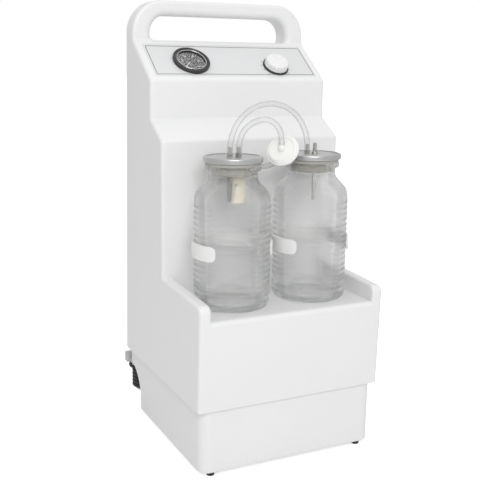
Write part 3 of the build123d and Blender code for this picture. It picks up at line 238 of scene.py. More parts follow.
def slab(name: str, size: Point, soft: float, segments: int, place: Matrix) -> bpy.types.Object:
    """Thin plate or bar with softened edges.

    Args:
        name: The piece's name.
        size: Its width, height and thickness in millimetres.
        soft: The width of its softened edges in millimetres.
        segments: How many faces go round a softened edge.
        place: Its middle, with its thickness along z.

    Returns:
        The mesh object.
    """
    clear_selection()
    bpy.ops.mesh.primitive_cube_add(size=0.001)
    piece = bpy.context.object
    piece.name = name
    piece.scale = size
    bpy.ops.object.transform_apply(scale=True)
    bevel = piece.modifiers.new("soft", "BEVEL")
    bevel.width = metres(soft)
    bevel.segments = segments
    finish_modifiers(piece)
    piece.matrix_world = place
    return settle(piece)


def add_socket(group: bpy.types.NodeTree, name: str, way: str, kind: str, value: object = None) -> None:
    """Add a named input or output to a shader node group."""
    socket = group.interface.new_socket(name=name, in_out=way, socket_type=kind)
    if value is not None:
        socket.default_value = value


class Effects:
    """Node groups that several finishes share."""

    def __init__(self) -> None:
        """Build the groups once."""
        self.mottle = self.build_mottle()
        self.grain = self.build_grain()

    def build_mottle(self) -> bpy.types.NodeTree:
        """Slow drift between two colours and two roughnesses over a surface.

        Returns:
            The node group.
        """
        group = bpy.data.node_groups.new("surface_mottle", "ShaderNodeTree")
        add_socket(group, "Colour A", "INPUT", "NodeSocketColor", (0.8, 0.8, 0.8, 1))
        add_socket(group, "Colour B", "INPUT", "NodeSocketColor", (0.7, 0.7, 0.7, 1))
        add_socket(group, "Scale", "INPUT", "NodeSocketFloat", 8.0)
        add_socket(group, "Roughness", "INPUT", "NodeSocketFloat", 0.4)
        add_socket(group, "Spread", "INPUT", "NodeSocketFloat", 0.05)
        add_socket(group, "Colour", "OUTPUT", "NodeSocketColor")
        add_socket(group, "Roughness", "OUTPUT", "NodeSocketFloat")
        nodes, links = group.nodes, group.links
        inner, outer = nodes.new("NodeGroupInput"), nodes.new("NodeGroupOutput")
        where = nodes.new("ShaderNodeTexCoord")
        noise = nodes.new("ShaderNodeTexNoise")
        noise.inputs["Detail"].default_value = 4.0
        mix = nodes.new("ShaderNodeMix")
        mix.data_type = "RGBA"
        centred = nodes.new("ShaderNodeMath")
        centred.operation = "SUBTRACT"
        centred.inputs[1].default_value = 0.5
        scaled = nodes.new("ShaderNodeMath")
        scaled.operation = "MULTIPLY_ADD"
        links.new(where.outputs["Object"], noise.inputs["Vector"])
        links.new(inner.outputs["Scale"], noise.inputs["Scale"])
        links.new(noise.outputs["Fac"], mix.inputs["Factor"])
        links.new(inner.outputs["Colour A"], mix.inputs["A"])
        links.new(inner.outputs["Colour B"], mix.inputs["B"])
        links.new(noise.outputs["Fac"], centred.inputs[0])
        links.new(centred.outputs[0], scaled.inputs[0])
        links.new(inner.outputs["Spread"], scaled.inputs[1])
        links.new(inner.outputs["Roughness"], scaled.inputs[2])
        links.new(mix.outputs["Result"], outer.inputs["Colour"])
        links.new(scaled.outputs[0], outer.inputs["Roughness"])
        return group

    def build_grain(self) -> bpy.types.NodeTree:
        """Fine moulded grain as a height, with its scale stretched along each axis.

        Returns:
            The node group.
        """
        group = bpy.data.node_groups.new("moulded_grain", "ShaderNodeTree")
        add_socket(group, "Scale", "INPUT", "NodeSocketFloat", 900.0)
        add_socket(group, "Stretch", "INPUT", "NodeSocketVector", (1, 1, 1))
        add_socket(group, "Height", "OUTPUT", "NodeSocketFloat")
        nodes, links = group.nodes, group.links
        inner, outer = nodes.new("NodeGroupInput"), nodes.new("NodeGroupOutput")
        where = nodes.new("ShaderNodeTexCoord")
        stretch = nodes.new("ShaderNodeVectorMath")
        stretch.operation = "MULTIPLY"
        noise = nodes.new("ShaderNodeTexNoise")
        noise.inputs["Detail"].default_value = 2.0
        links.new(where.outputs["Object"], stretch.inputs[0])
        links.new(inner.outputs["Stretch"], stretch.inputs[1])
        links.new(stretch.outputs[0], noise.inputs["Vector"])
        links.new(inner.outputs["Scale"], noise.inputs["Scale"])
        links.new(noise.outputs["Fac"], outer.inputs["Height"])
        return group


@dataclass(frozen=True)
class Finish:
    """Opaque finish with a slow drift of colour and a fine grain."""

    name: str
    colour: Colour
    shade: Colour
    roughness: float = 0.4
    spread: float = 0.08
    metallic: float = 0.0
    drift: float = 9.0
    grain: float = 900.0
    stretch: Point = (1.0, 1.0, 1.0)
    depth: float = 0.02
    grain_height: float = 0.001

    def build(self, effects: Effects) -> bpy.types.Material:
        """Make the material.

        Args:
            effects: The shared node groups.

        Returns:
            The material, ready for a slot.
        """
        material = bpy.data.materials.new(self.name)
        material.use_nodes = True
        nodes, links = material.node_tree.nodes, material.node_tree.links
        shader = nodes["Principled BSDF"]
        shader.inputs["Metallic"].default_value = self.metallic
        mottle = nodes.new("ShaderNodeGroup")
        mottle.node_tree = effects.mottle
        mottle.inputs["Colour A"].default_value = (*self.colour, 1)
        mottle.inputs["Colour B"].default_value = (*self.shade, 1)
        mottle.inputs["Scale"].default_value = self.drift
        mottle.inputs["Roughness"].default_value = self.roughness
        mottle.inputs["Spread"].default_value = self.spread
        grain = nodes.new("ShaderNodeGroup")
        grain.node_tree = effects.grain
        grain.inputs["Scale"].default_value = self.grain
        grain.inputs["Stretch"].default_value = self.stretch
        bump = nodes.new("ShaderNodeBump")
        bump.inputs["Strength"].default_value = self.depth
        bump.inputs["Distance"].default_value = self.grain_height
        links.new(mottle.outputs["Colour"], shader.inputs["Base Color"])
        links.new(mottle.outputs["Roughness"], shader.inputs["Roughness"])
        links.new(grain.outputs["Height"], bump.inputs["Height"])
        links.new(bump.outputs["Normal"], shader.inputs["Normal"])
        return material


@dataclass(frozen=True)
class ClearFinish:
    """Clear glass or soft plastic that gets denser towards its outline."""

    name: str
    colour: Colour
    roughness: float
    middle: float
    edge: float
    ior: float = 1.45
    transmission: float = 0.0
    shade: float = 0.94
    drift: float = 14.0
    spread: float = 0.04
    blend: float = 0.35

    def build(self, effects: Effects) -> bpy.types.Material:
        """Make the material, with its opacity from the viewing angle.

        Args:
            effects: The shared node groups.

        Returns:
            The material, ready for a slot.
        """
        material = bpy.data.materials.new(self.name)
        material.use_nodes = True
        nodes, links = material.node_tree.nodes, material.node_tree.links
        shader = nodes["Principled BSDF"]
        shader.inputs["IOR"].default_value = self.ior
        shader.inputs["Transmission Weight"].default_value = self.transmission
        mottle = nodes.new("ShaderNodeGroup")
        mottle.node_tree = effects.mottle
        mottle.inputs["Colour A"].default_value = (*self.colour, 1)
        mottle.inputs["Colour B"].default_value = (*(self.shade * part for part in self.colour), 1)
        mottle.inputs["Scale"].default_value = self.drift
        mottle.inputs["Roughness"].default_value = self.roughness
        mottle.inputs["Spread"].default_value = self.spread
        facing = nodes.new("ShaderNodeLayerWeight")
        facing.inputs["Blend"].default_value = self.blend
        opacity = nodes.new("ShaderNodeMapRange")
        opacity.inputs["To Min"].default_value = self.middle
        opacity.inputs["To Max"].default_value = self.edge
        links.new(mottle.outputs["Colour"], shader.inputs["Base Color"])
        links.new(mottle.outputs["Roughness"], shader.inputs["Roughness"])
        links.new(facing.outputs["Facing"], opacity.inputs["Value"])
        links.new(opacity.outputs["Result"], shader.inputs["Alpha"])
        return material


class Slot(Enum):
    """Finish slots of the unit."""

    CABINET = "cabinet_white"
    CLIP = "clip_white"
    CLEAT = "cleat_grey"
    PANEL = "panel_grey"
    RUBBER = "black_rubber"
    STOPPER = "stopper_rubber"
    DARK = "dark_plastic"
    DIAL = "dial_white"
    GAUGE = "gauge_black"
    STEEL = "steel"
    BRIGHT = "bright_metal"
    BRASS = "brass"
    ALUMINIUM = "aluminium"
    CAST = "cast"
    GLASS = "clear_glass"
    TUBE = "clear_tube"
    CREAM = "cream_plastic"
    FILTER = "filter_white"


FINISHES: dict[Slot, Finish | ClearFinish] = {
    Slot.CABINET: Finish(
        "cabinet_moulded_white", (0.80, 0.805, 0.80), (0.775, 0.78, 0.778), 0.34, 0.10, depth=0.05
    ),
    Slot.CLIP: Finish(
        "clip_moulded_white", (0.82, 0.82, 0.815), (0.78, 0.78, 0.775), 0.32, 0.08, depth=0.04
    ),
    Slot.CLEAT: Finish("cleat_light_grey", (0.52, 0.53, 0.54), (0.47, 0.48, 0.49), 0.45, 0.1, depth=0.08),
    Slot.PANEL: Finish(
        "panel_light_grey", (0.70, 0.705, 0.71), (0.675, 0.68, 0.685), 0.42, 0.06, depth=0.03
    ),
    Slot.RUBBER: Finish(
        "black_rubber", (0.018, 0.018, 0.018), (0.03, 0.03, 0.03), 0.55, 0.15, grain=1400, depth=0.12
    ),
    Slot.STOPPER: Finish("stopper_rubber", (0.42, 0.41, 0.38), (0.36, 0.35, 0.32), 0.6, 0.1, depth=0.1),
    Slot.DARK: Finish("dark_moulding", (0.022, 0.022, 0.024), (0.03, 0.03, 0.032), 0.38, 0.1, depth=0.05),
    Slot.DIAL: Finish("dial_paint", (0.022, 0.022, 0.024), (0.03, 0.03, 0.032), 0.45, 0.05, depth=0.01),
    Slot.GAUGE: Finish("gauge_paint", (0.02, 0.02, 0.022), (0.03, 0.03, 0.032), 0.32, 0.08, depth=0.05),
    Slot.STEEL: Finish(
        "plain_steel", (0.56, 0.56, 0.55), (0.48, 0.48, 0.47), 0.32, 0.15,
        metallic=1.0, drift=20, grain=700, stretch=(1, 1, 8), depth=0.04,
    ),
    Slot.BRIGHT: Finish(
        "bright_nickel", (0.66, 0.65, 0.62), (0.58, 0.57, 0.55), 0.16, 0.1,
        metallic=1.0, drift=30, grain=600, depth=0.02,
    ),
    Slot.BRASS: Finish(
        "plain_brass", (0.62, 0.46, 0.20), (0.52, 0.38, 0.16), 0.28, 0.15,
        metallic=1.0, drift=20, grain=600, depth=0.03,
    ),
    Slot.ALUMINIUM: Finish(
        "turned_aluminium", (0.60, 0.60, 0.60), (0.52, 0.52, 0.52), 0.34, 0.15,
        metallic=1.0, drift=16, grain=500, depth=0.04,
    ),
    Slot.CAST: Finish(
        "cast_grey_paint", (0.16, 0.17, 0.19), (0.12, 0.13, 0.15), 0.5, 0.1,
        metallic=0.3, drift=12, grain=420, depth=0.25,
    ),
    Slot.GLASS: ClearFinish(
        "jar_glass", (0.99, 0.995, 0.99), roughness=0.01, middle=0.32, edge=0.95, ior=1.32, transmission=1.0
    ),
    Slot.TUBE: ClearFinish("clear_soft_tube", (0.52, 0.53, 0.52), roughness=0.12, middle=0.07, edge=0.8),
    Slot.CREAM: Finish("cream_moulding", (0.74, 0.70, 0.58), (0.70, 0.66, 0.54), 0.45, 0.08, depth=0.05),
    Slot.FILTER: Finish("filter_moulding", (0.84, 0.84, 0.82), (0.80, 0.80, 0.78), 0.4, 0.06, depth=0.04),
}


class Wardrobe:
    """All finishes, built once and handed out by slot."""

    def __init__(self) -> None:
        """Build every material."""
        effects = Effects()
        self.materials = {slot: finish.build(effects) for slot, finish in FINISHES.items()}

    def dress(self, piece: bpy.types.Object, slot: Slot) -> None:
        """Give a new piece one finish."""
        piece.data.materials.append(self.materials[slot])

    def dress_nodes(self, nodes: dict[str, bpy.types.Object], record: dict) -> None:
        """Give every node of the frame the finish that its record names.

        Args:
            nodes: The frame's nodes by name.
            record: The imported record.
        """
        by_value = {slot.value: slot for slot in Slot}
        for entry in record["subparts"]:
            node = nodes[entry["node"]]
            for holder in node.material_slots:
                holder.material = self.materials[by_value[entry["material_slot"]]]


@dataclass
class Jars:
    """The two ribbed glass jars, turned with their moulded rings."""

    radius: float = 65.0
    shelf: float = 270.0
    spacing: float = 150.6
    depth: float = 91.0
    wall_foot: float = 9.5
    wall_top: float = 176.0
    first_rib: float = 22.0
    rib_pitch: float = 9.8
    ribs: int = 16
    rib_rise: float = 0.9
    steps: int = 96

    def profile(self) -> Outline:
        """Outline from the middle of the base, up the outside and down the inside.

        Returns:
            Points of (radius, height) in metres.
        """
        wall = self.radius - self.rib_rise
        points = [*JAR_FOOT, (wall, self.wall_foot)]
        for rib in range(self.ribs):
            middle = self.first_rib + rib * self.rib_pitch
            for step, rise in JAR_RIB:
                points.append((wall + rise * self.rib_rise, middle + step))
        points += [(wall, self.wall_top), *JAR_SHOULDER, *JAR_MOUTH, *JAR_INSIDE]
        return [(metres(radius), metres(height)) for radius, height in points]

    def build(self, wardrobe: Wardrobe) -> None:
        """Turn both jars, dress them and let them stand for the plain ones.

        Args:
            wardrobe: The finishes.
        """
        for side, body, sign in (("left", "left_jar", -1), ("right", "right_jar", 1)):
            centre = at(sign * self.spacing / 2, self.depth, self.shelf)
            jar = lathe(f"ribbed_jar_{side}", self.profile(), centre, self.steps)
            smooth(jar, JAR_EDGE)
            wardrobe.dress(jar, Slot.GLASS)
            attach(jar, body)
            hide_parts(f"jar_{side}")
            LOG.info("%s turned with %d ribs", jar.name, self.ribs)


@dataclass
class Panel:
    """Marks on the sloped panel and on the dial, the dial's bright ring and the pointer's face."""

    low: tuple[float, float] = (216.0, 640.5)
    high: tuple[float, float] = (304.0, 708.0)
    softness: float = 0.3
    print_thickness: float = 0.2
    print_out: float = 0.05
    border: tuple[float, float] = (311.0, 78.0)
    border_shift: float = 0.7
    line: float = 1.0
    start: float = 225.0
    sweep: float = 270.0
    knob: tuple[float, float] = (84.0, -17.0)
    scale_radius: float = 27.5
    scale_marks: int = 11
    end_mark: float = 4.0
    short_mark: float = 2.6
    mark_width: float = 0.7
    gauge: tuple[float, float] = (-81.0, -4.5)
    dial_radius: float = 27.0
    ticks: int = 21
    tick_margin: float = 2.2
    tick_thickness: float = 0.12
    tick_out: float = -1.97
    long_tick: tuple[float, float] = (4.2, 0.9)
    short_tick: tuple[float, float] = (2.4, 0.5)
    ticks_per_number: int = 4
    numbers: int = 6
    number_step: int = 20
    number_inset: float = 10.4
    number_height: float = 4.8
    number_extrude: float = 0.04
    number_out: float = -1.95
    ring_radius: float = 26.8
    ring_bead: float = 0.9
    ring_out: float = 4.6
    ring_steps: tuple[int, int] = (96, 12)
    pointer: Point = (18.0, 1.0, 0.12)
    pointer_reach: float = 12.6
    pointer_out: float = -0.5

    def frame(self, x: float, up: float, out: float) -> Matrix:
        """Place on the panel, with its z axis outwards and its y axis up the slope.

        Args:
            x: Distance to the right of the panel's middle.
            up: Distance up the slope.
            out: Distance outwards.

        Returns:
            The matrix in metres.
        """
        run, rise = self.high[0] - self.low[0], self.high[1] - self.low[1]
        length = math.hypot(run, rise)
        side = Vector((1, 0, 0))
        upward = Vector((0, run / length, rise / length))
        outward = side.cross(upward)
        middle = at(0, (self.low[0] + self.high[0]) / 2, (self.low[1] + self.high[1]) / 2)
        place = middle + (side * x + upward * up + outward * out) / MILLIMETRES
        turn = Matrix((side, upward, outward)).transposed().to_4x4()
        return Matrix.Translation(place) @ turn

    def angle(self, step: int, marks: int) -> float:
        """Direction of one of several marks spread over the sweep, in radians."""
        return math.radians(self.start - self.sweep * step / (marks - 1))

    def ray(self, centre: tuple[float, float], out: float, angle: float, reach: float) -> Matrix:
        """Place beside a centre on the panel, with its x axis pointing away from it.

        Args:
            centre: The centre, to the right of the panel's middle and up the slope.
            out: Distance outwards.
            angle: The direction from the centre, in radians.
            reach: The distance from the centre.

        Returns:
            The matrix in metres.
        """
        turn = Matrix.Rotation(angle, 4, "Z")
        return self.frame(*centre, out) @ turn @ Matrix.Translation((metres(reach), 0, 0))

    def bar(self, name: str, size: Point, place: Matrix) -> bpy.types.Object:
        """Thin bar, softened by a share of its smallest size."""
        return slab(name, size, min(size) * self.softness, 1, place)

    def build_border(self, wardrobe: Wardrobe) -> None:
        """Printed line round the panel.

        Args:
            wardrobe: The finishes.
        """
        width, height = self.border
        bars = []
        for sign in (-1, 1):
            across = self.frame(self.border_shift, sign * height / 2, self.print_out)
            bars.append(self.bar("line_across", (width, self.line, self.print_thickness), across))
            upright = self.frame(self.border_shift + sign * width / 2, 0.0, self.print_out)
            bars.append(self.bar("line_up", (self.line, height - self.line, self.print_thickness), upright))
        border = join(bars, "panel_border")
        wardrobe.dress(border, Slot.DARK)
        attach(border, "cabinet")
        LOG.info("panel border laid")

    def build_scale(self, wardrobe: Wardrobe) -> None:
        """Marks round the knob, longer at each end of its turn.

        Args:
            wardrobe: The finishes.
        """
        marks = []
        for step in range(self.scale_marks):
            reach = self.end_mark if step in (0, self.scale_marks - 1) else self.short_mark
            angle = self.angle(step, self.scale_marks)
            spot = self.ray(self.knob, self.print_out, angle, self.scale_radius)
            marks.append(self.bar("mark", (reach, self.mark_width, self.print_thickness), spot))
        scale = join(marks, "knob_scale")
        wardrobe.dress(scale, Slot.DARK)
        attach(scale, "cabinet")
        LOG.info("knob scale laid")

    def build_dial(self, wardrobe: Wardrobe) -> None:
        """Ticks and plain numbers on the gauge's dial.

        Args:
            wardrobe: The finishes.
        """
        marks = []
        for step in range(self.ticks):
            reach, width = self.short_tick if step % self.ticks_per_number else self.long_tick
            middle = self.dial_radius - self.tick_margin - reach / 2
            spot = self.ray(self.gauge, self.tick_out, self.angle(step, self.ticks), middle)
            marks.append(self.bar("tick", (reach, width, self.tick_thickness), spot))
        for step in range(self.numbers):
            marks.append(self.number(str(self.number_step * step), self.angle(step, self.numbers)))
        dial = join(marks, "dial_marks")
        wardrobe.dress(dial, Slot.CLIP)
        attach(dial, "cabinet")
        LOG.info("dial marks laid")

    def build_ring(self, wardrobe: Wardrobe) -> None:
        """Bright ring between the gauge's rim and its dial, and the pointer's light face.

        Args:
            wardrobe: The finishes.
        """
        place = self.frame(*self.gauge, self.ring_out)
        ring = bead_ring(self.ring_radius, self.ring_bead, place, self.ring_steps)
        ring.name = "dial_ring"
        wardrobe.dress(ring, Slot.BRIGHT)
        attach(ring, "cabinet")
        spot = self.ray(self.gauge, self.pointer_out, math.radians(self.start), self.pointer_reach)
        face = self.bar("pointer_face", self.pointer, spot)
        wardrobe.dress(face, Slot.CLIP)
        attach(face, "needle")
        LOG.info("dial ring and pointer face laid")

    def number(self, text: str, angle: float) -> bpy.types.Object:
        """Plain number on the dial, upright, at an angle.

        Args:
            text: The number.
            angle: Its direction from the dial's middle, in radians.

        Returns:
            The mesh object.
        """
        clear_selection()
        bpy.ops.object.text_add()
        piece = bpy.context.object
        piece.data.body = text
        piece.data.size = metres(self.number_height)
        piece.data.extrude = metres(self.number_extrude)
        piece.data.align_x = "CENTER"
        piece.data.align_y = "CENTER"
        bpy.ops.object.convert(target="MESH")
        piece = bpy.context.object
        reach = metres(self.dial_radius - self.number_inset)
        offset = Matrix.Translation((reach * math.cos(angle), reach * math.sin(angle), 0))
        piece.matrix_world = self.frame(*self.gauge, self.number_out) @ offset
        return settle(piece)

    def build(self, wardrobe: Wardrobe) -> None:
        """Lay everything on the panel and on the dial."""
        self.build_border(wardrobe)
        self.build_scale(wardrobe)
        self.build_dial(wardrobe)
        self.build_ring(wardrobe)


@dataclass
class RoundFilter:
    """Raised rings on both faces of the round filter."""

    half: float = 6.0
    rings: tuple[float, ...] = (10.0, 21.5)
    bead: float = 0.6
    sunk: float = 0.4
    steps: tuple[int, int] = (72, 10)

    def build(self, wardrobe: Wardrobe) -> None:
        """Lay two low rings on each face and dress them.

        Args:
            wardrobe: The finishes.
        """
        turn = Vector(FILTER_AXIS).normalized().to_track_quat("Z", "Y").to_matrix().to_4x4()
        middle = Matrix.Translation(at(*FILTER_CENTRE)) @ turn
        for name, sign in (("front", 1), ("back", -1)):
            face = middle @ Matrix.Translation((0, 0, sign * metres(self.half - self.sunk)))
            pieces = [bead_ring(radius, self.bead, face, self.steps) for radius in self.rings]
            rings = join(pieces, f"filter_rings_{name}")
            wardrobe.dress(rings, Slot.FILTER)
            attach(rings, "cabinet")
            LOG.info("%s placed", rings.name)


@dataclass
class Cord:
    """Free hose or lead on one smooth spline."""

    name: str
    points: list[Vector]
    diameter: float
    body: str
    slot: Slot
    stands_for: tuple[str, ...]
    far_end: str
    stiffness: str
    lay: str
    carries: list[bpy.types.Object] = field(default_factory=list)

    def spline_length(self, curve: bpy.types.Object) -> float:
        """Length of the curve as Blender draws it, in metres.

        Args:
            curve: The curve, before it has a bevel.

        Returns:
            The length.
        """
        bpy.context.view_layer.update()
        graph = bpy.context.evaluated_depsgraph_get()
        mesh = bpy.data.meshes.new_from_object(curve.evaluated_get(graph))
        spots = [vertex.co.copy() for vertex in mesh.vertices]
        bpy.data.meshes.remove(mesh)
        return sum((b - a).length for a, b in zip(spots, spots[1:]))

    def build(self, wardrobe: Wardrobe) -> None:
        """Args:
            wardrobe: The finishes.
        """
        data = bpy.data.curves.new(self.name, "CURVE")
        data.dimensions = "3D"
        data.resolution_u = 8
        data.bevel_resolution = 4
        data.use_fill_caps = True
        spline = data.splines.new("NURBS")
        spline.points.add(len(self.points) - 1)
        for point, place in zip(spline.points, self.points):
            point.co = (*place, 1.0)
        spline.order_u = 3
        spline.use_endpoint_u = True
        curve = bpy.data.objects.new(self.name, data)
        bpy.context.scene.collection.objects.link(curve)
        length = self.spline_length(curve)
        data.bevel_depth = self.diameter / 2
        wardrobe.dress(curve, self.slot)
        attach(curve, self.body)
        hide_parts(*self.stands_for)
        LOG.info("%s laid, %.3f m", self.name, length)


@dataclass
class Hoses:
    """Clear hoses between the lids, to the filter and on to the column."""

    diameter: float = 0.0095
    foot: float = 526.5
    left_inlet: tuple[float, float] = (-83.3, 87.0)
    left_outlet: tuple[float, float] = (-67.0, 87.0)
    right_outlet: tuple[float, float] = (65.5, 91.0)
    transfer_rise: float = 79.5
    filter_rise: float = 47.0
    filter_inlet: float = 8.0
    filter_outlet: float = 10.0
    hub_rise: float = 6.0
    barb_aim: Point = (-0.18, 0.73, -0.65)
    barb_reaches: tuple[float, float] = (7.0, 26.0)
    way_in: tuple[Point, ...] = ((-5.0, 106.0, 499.0), (-16.0, 136.0, 497.0), (-16.0, 161.5, 497.0))

    def arch(self, start: Point, end: Point, rise: float, shape: Outline) -> list[Point]:
        """Route that stands up between two barbs.

        Args:
            start: The first barb.
            end: The second barb.
            rise: How high the route stands above both.
            shape: Shares of the span and of the rise.

        Returns:
            The route's points.
        """
        route = [start]
        for part, up in shape:
            x = start[0] + (end[0] - start[0]) * part
            y = start[1] + (end[1] - start[1]) * part
            z = start[2] + (end[2] - start[2]) * part + rise * up
            route.append((x, y, z))
        return [*route, end]

    def build(self, wardrobe: Wardrobe) -> None:
        """Lay the three hoses.

        Args:
            wardrobe: The finishes.
        """
        axis = Vector(FILTER_AXIS).normalized()
        inlet = Vector(FILTER_CENTRE) + axis * self.filter_inlet
        outlet = Vector(FILTER_CENTRE) - axis * self.filter_outlet
        aim = Vector(self.barb_aim).normalized()
        first, last = (*self.left_inlet, self.foot), (*self.right_outlet, self.foot)
        transfer = self.arch(first, last, self.transfer_rise, TALL_ARCH)
        hub = (inlet.x, inlet.y, inlet.z + self.hub_rise)
        to_filter = self.arch((*self.left_outlet, self.foot), hub, self.filter_rise, LOW_ARCH)
        to_port = [*(tuple(outlet + aim * reach) for reach in self.barb_reaches), *self.way_in]
        routes = (
            ("jar_to_jar_hose", transfer, "lid_set", "transfer_hose"),
            ("jar_to_filter_hose", to_filter, "lid_set", "filter_hose"),
            ("filter_to_column_hose", to_port, "cabinet", "port_hose"),
        )
        for name, route, body, node in routes:
            points = along(route)
            hose = Cord(name, points, self.diameter, body, Slot.TUBE, (node,), "object", "medium", "loose")
            hose.build(wardrobe)


@dataclass
class MainsLead:
    """Black mains lead, wound on the two cleats behind the base, with its plug."""

    diameter: float = 0.007
    post_x: float = 137.6
    post_y: float = 352.5
    radius: float = 23.5
    low: float = 36.0
    pitch: float = 7.4
    turns: int = 5
    climb: float = 1.2
    loose_y: float = 364.5
    loose_radius: float = 26.0
    loop_points: int = 5

    def end_loop(self, sign: int, y: float, radius: float, z: float, lift: float) -> list[Point]:
        """Points round one cleat, from the outer run to the inner one or back.

        Args:
            sign: Minus one at the left cleat, one at the right cleat.
            y: The middle of the loop.
            radius: The radius of the lead's middle line.
            z: The height at the loop's start.
            lift: How much the lead climbs on the way round.

        Returns:
            The route's points.
        """
        half_step = 90.0 / self.loop_points
        reach = radius / math.cos(math.radians(half_step))
        points = []
        for step in range(self.loop_points):
            angle = math.radians(half_step * (2 * step + 1))
            x = sign * (self.post_x + reach * math.sin(angle))
            swing = sign * reach * math.cos(angle)
            points.append((x, y - swing, z + lift * step / (self.loop_points - 1)))
        return points

    def route(self) -> list[Point]:
        """The lead from its gland, round the cleats and on to the plug.

        Returns:
            The route's points.
        """
        points = [(60.0, 334.0, 24.0), (60.0, 352.0, 24.5), (51.0, 370.0, 27.5), (34.0, 381.5, 32.0)]
        points += [(8.0, 385.0, 36.5), (-30.0, 377.5, 39.2)]
        outer, inner = self.post_y + self.radius, self.post_y - self.radius
        bottom = self.low + self.diameter * MILLIMETRES / 2
        for turn in range(self.turns):
            z = bottom + turn * self.pitch
            if turn:
                points += [(40.0, outer, z - 0.6), (-40.0, outer, z - 0.2)]
            points += [(-130.0, outer, z), *self.end_loop(-1, self.post_y, self.radius, z, self.climb)]
            points += [(-130.0, inner, z + 1.4), (-40.0, inner, z + 2.2), (40.0, inner, z + 3.0)]
            points.append((130.0, inner, z + 3.6))
            points += self.end_loop(1, self.post_y, self.radius, z + 3.8, self.climb)
            points.append((130.0, outer, z + 5.4))
        top = bottom + self.turns * self.pitch
        outer, inner = self.loose_y + self.loose_radius, self.loose_y - self.loose_radius
        points += [(98.0, outer - 9.5, top - 1.8), (66.0, outer - 1.5, top - 0.4), (0.0, outer, top)]
        points += [(-70.0, outer, top), (-129.0, outer, top)]
        points += self.end_loop(-1, self.loose_y, self.loose_radius, top, 0.0)
        points += [(-129.0, inner, top), (-40.0, inner, top), (40.0, inner, top), (129.0, inner, top)]
        points += self.end_loop(1, self.loose_y, self.loose_radius, top, 0.0)
        points += [(124.0, 390.0, 77.6), (106.0, 385.5, 81.5), (84.0, 377.5, 81.5), (68.0, 364.0, 76.0)]
        points += [(50.0, 352.5, 60.0), (28.0, 352.5, 60.0)]
        return points

    def build(self, wardrobe: Wardrobe, nodes: dict[str, bpy.types.Object]) -> None:
        """Lay the whole lead.

        Args:
            wardrobe: The finishes.
            nodes: The frame's nodes by name.
        """
        Cord(
            "mains_lead_wound",
            along(self.route()),
            self.diameter,
            "cabinet",
            Slot.RUBBER,
            ("mains_lead", "mains_lead_hank", "mains_lead_tail"),
            "plug",
            "medium",
            "coiled",
            [nodes["mains_plug"], nodes["plug_pins"]],
        ).build(wardrobe)


@dataclass
class RearPlate:
    """Bare rating plate with two rivets, a guess, because the rear wall isn't seen."""

    plate: Point = (70.0, 40.0, 0.8)
    middle: tuple[float, float] = (-95.0, 640.0)
    plate_out: float = 0.35
    soft: float = 0.2
    rivet_radius: float = 1.6
    rivet_flatness: float = 0.5
    rivet_reach: float = 31.0
    rivet_out: float = 0.8
    wall_foot: tuple[float, float] = (371.0, 118.0)
    wall_lean: tuple[float, float] = (24.0, 590.0)

    def rear(self, x: float, z: float, out: float) -> Matrix:
        """Place on the leaning rear wall, seen from behind.

        Args:
            x: Distance to the right of the middle, seen from the front.
            z: Height.
            out: Distance outwards from the wall.

        Returns:
            The matrix in metres.
        """
        foot_y, foot_z = self.wall_foot
        run, rise = self.wall_lean
        outward = Vector((0, 1, run / rise)).normalized()
        side = Vector((-1, 0, 0))
        upward = outward.cross(side)
        y = foot_y - run * (z - foot_z) / rise
        turn = Matrix((side, upward, outward)).transposed().to_4x4()
        return Matrix.Translation(at(x, y, z) + outward * out / MILLIMETRES) @ turn

    def build(self, wardrobe: Wardrobe) -> None:
        """Fix the bare plate and its two rivets.

        Args:
            wardrobe: The finishes.
        """
        x, z = self.middle
        parts = [slab("plate", self.plate, self.soft, 2, self.rear(x, z, self.plate_out))]
        radius = metres(self.rivet_radius)
        for sign in (-1, 1):
            bpy.ops.mesh.primitive_uv_sphere_add(segments=20, ring_count=10, radius=radius)
            rivet = bpy.context.object
            rivet.scale = (1, 1, self.rivet_flatness)
            bpy.ops.object.transform_apply(scale=True)
            rivet.matrix_world = self.rear(x + sign * self.rivet_reach, z, self.rivet_out)
            smooth(rivet, ROUND_EDGE)
            parts.append(settle(rivet))
        piece = join(parts, "rating_plate")
        wardrobe.dress(piece, Slot.ALUMINIUM)
        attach(piece, "cabinet")
        LOG.info("bare rating plate fixed")


@dataclass(frozen=True)
class Lamp:
    """Soft square lamp, in metres and watts."""

    name: str
    place: Point
    aim: Point
    size: float
    power: float

    def hang(self) -> None:
        """Hang the lamp and turn it to what it shines at."""
        lamp = bpy.data.lights.new(self.name, "AREA")
        lamp.size = self.size
        lamp.energy = self.power
        holder = bpy.data.objects.new(self.name, lamp)
        direction = Vector(self.aim) - Vector(self.place)
        turn = direction.to_track_quat("-Z", "Y").to_matrix().to_4x4()
        holder.matrix_world = Matrix.Translation(self.place) @ turn
        bpy.context.scene.collection.objects.link(holder)


LAMPS = (
    Lamp("key", (-0.7, -2.0, 1.75), (0.0, 0.0, 0.55), 1.2, 25.0),
    Lamp("top", (0.3, 0.2, 3.0), (0.0, 0.0, 0.4), 2.2, 8.0),
)


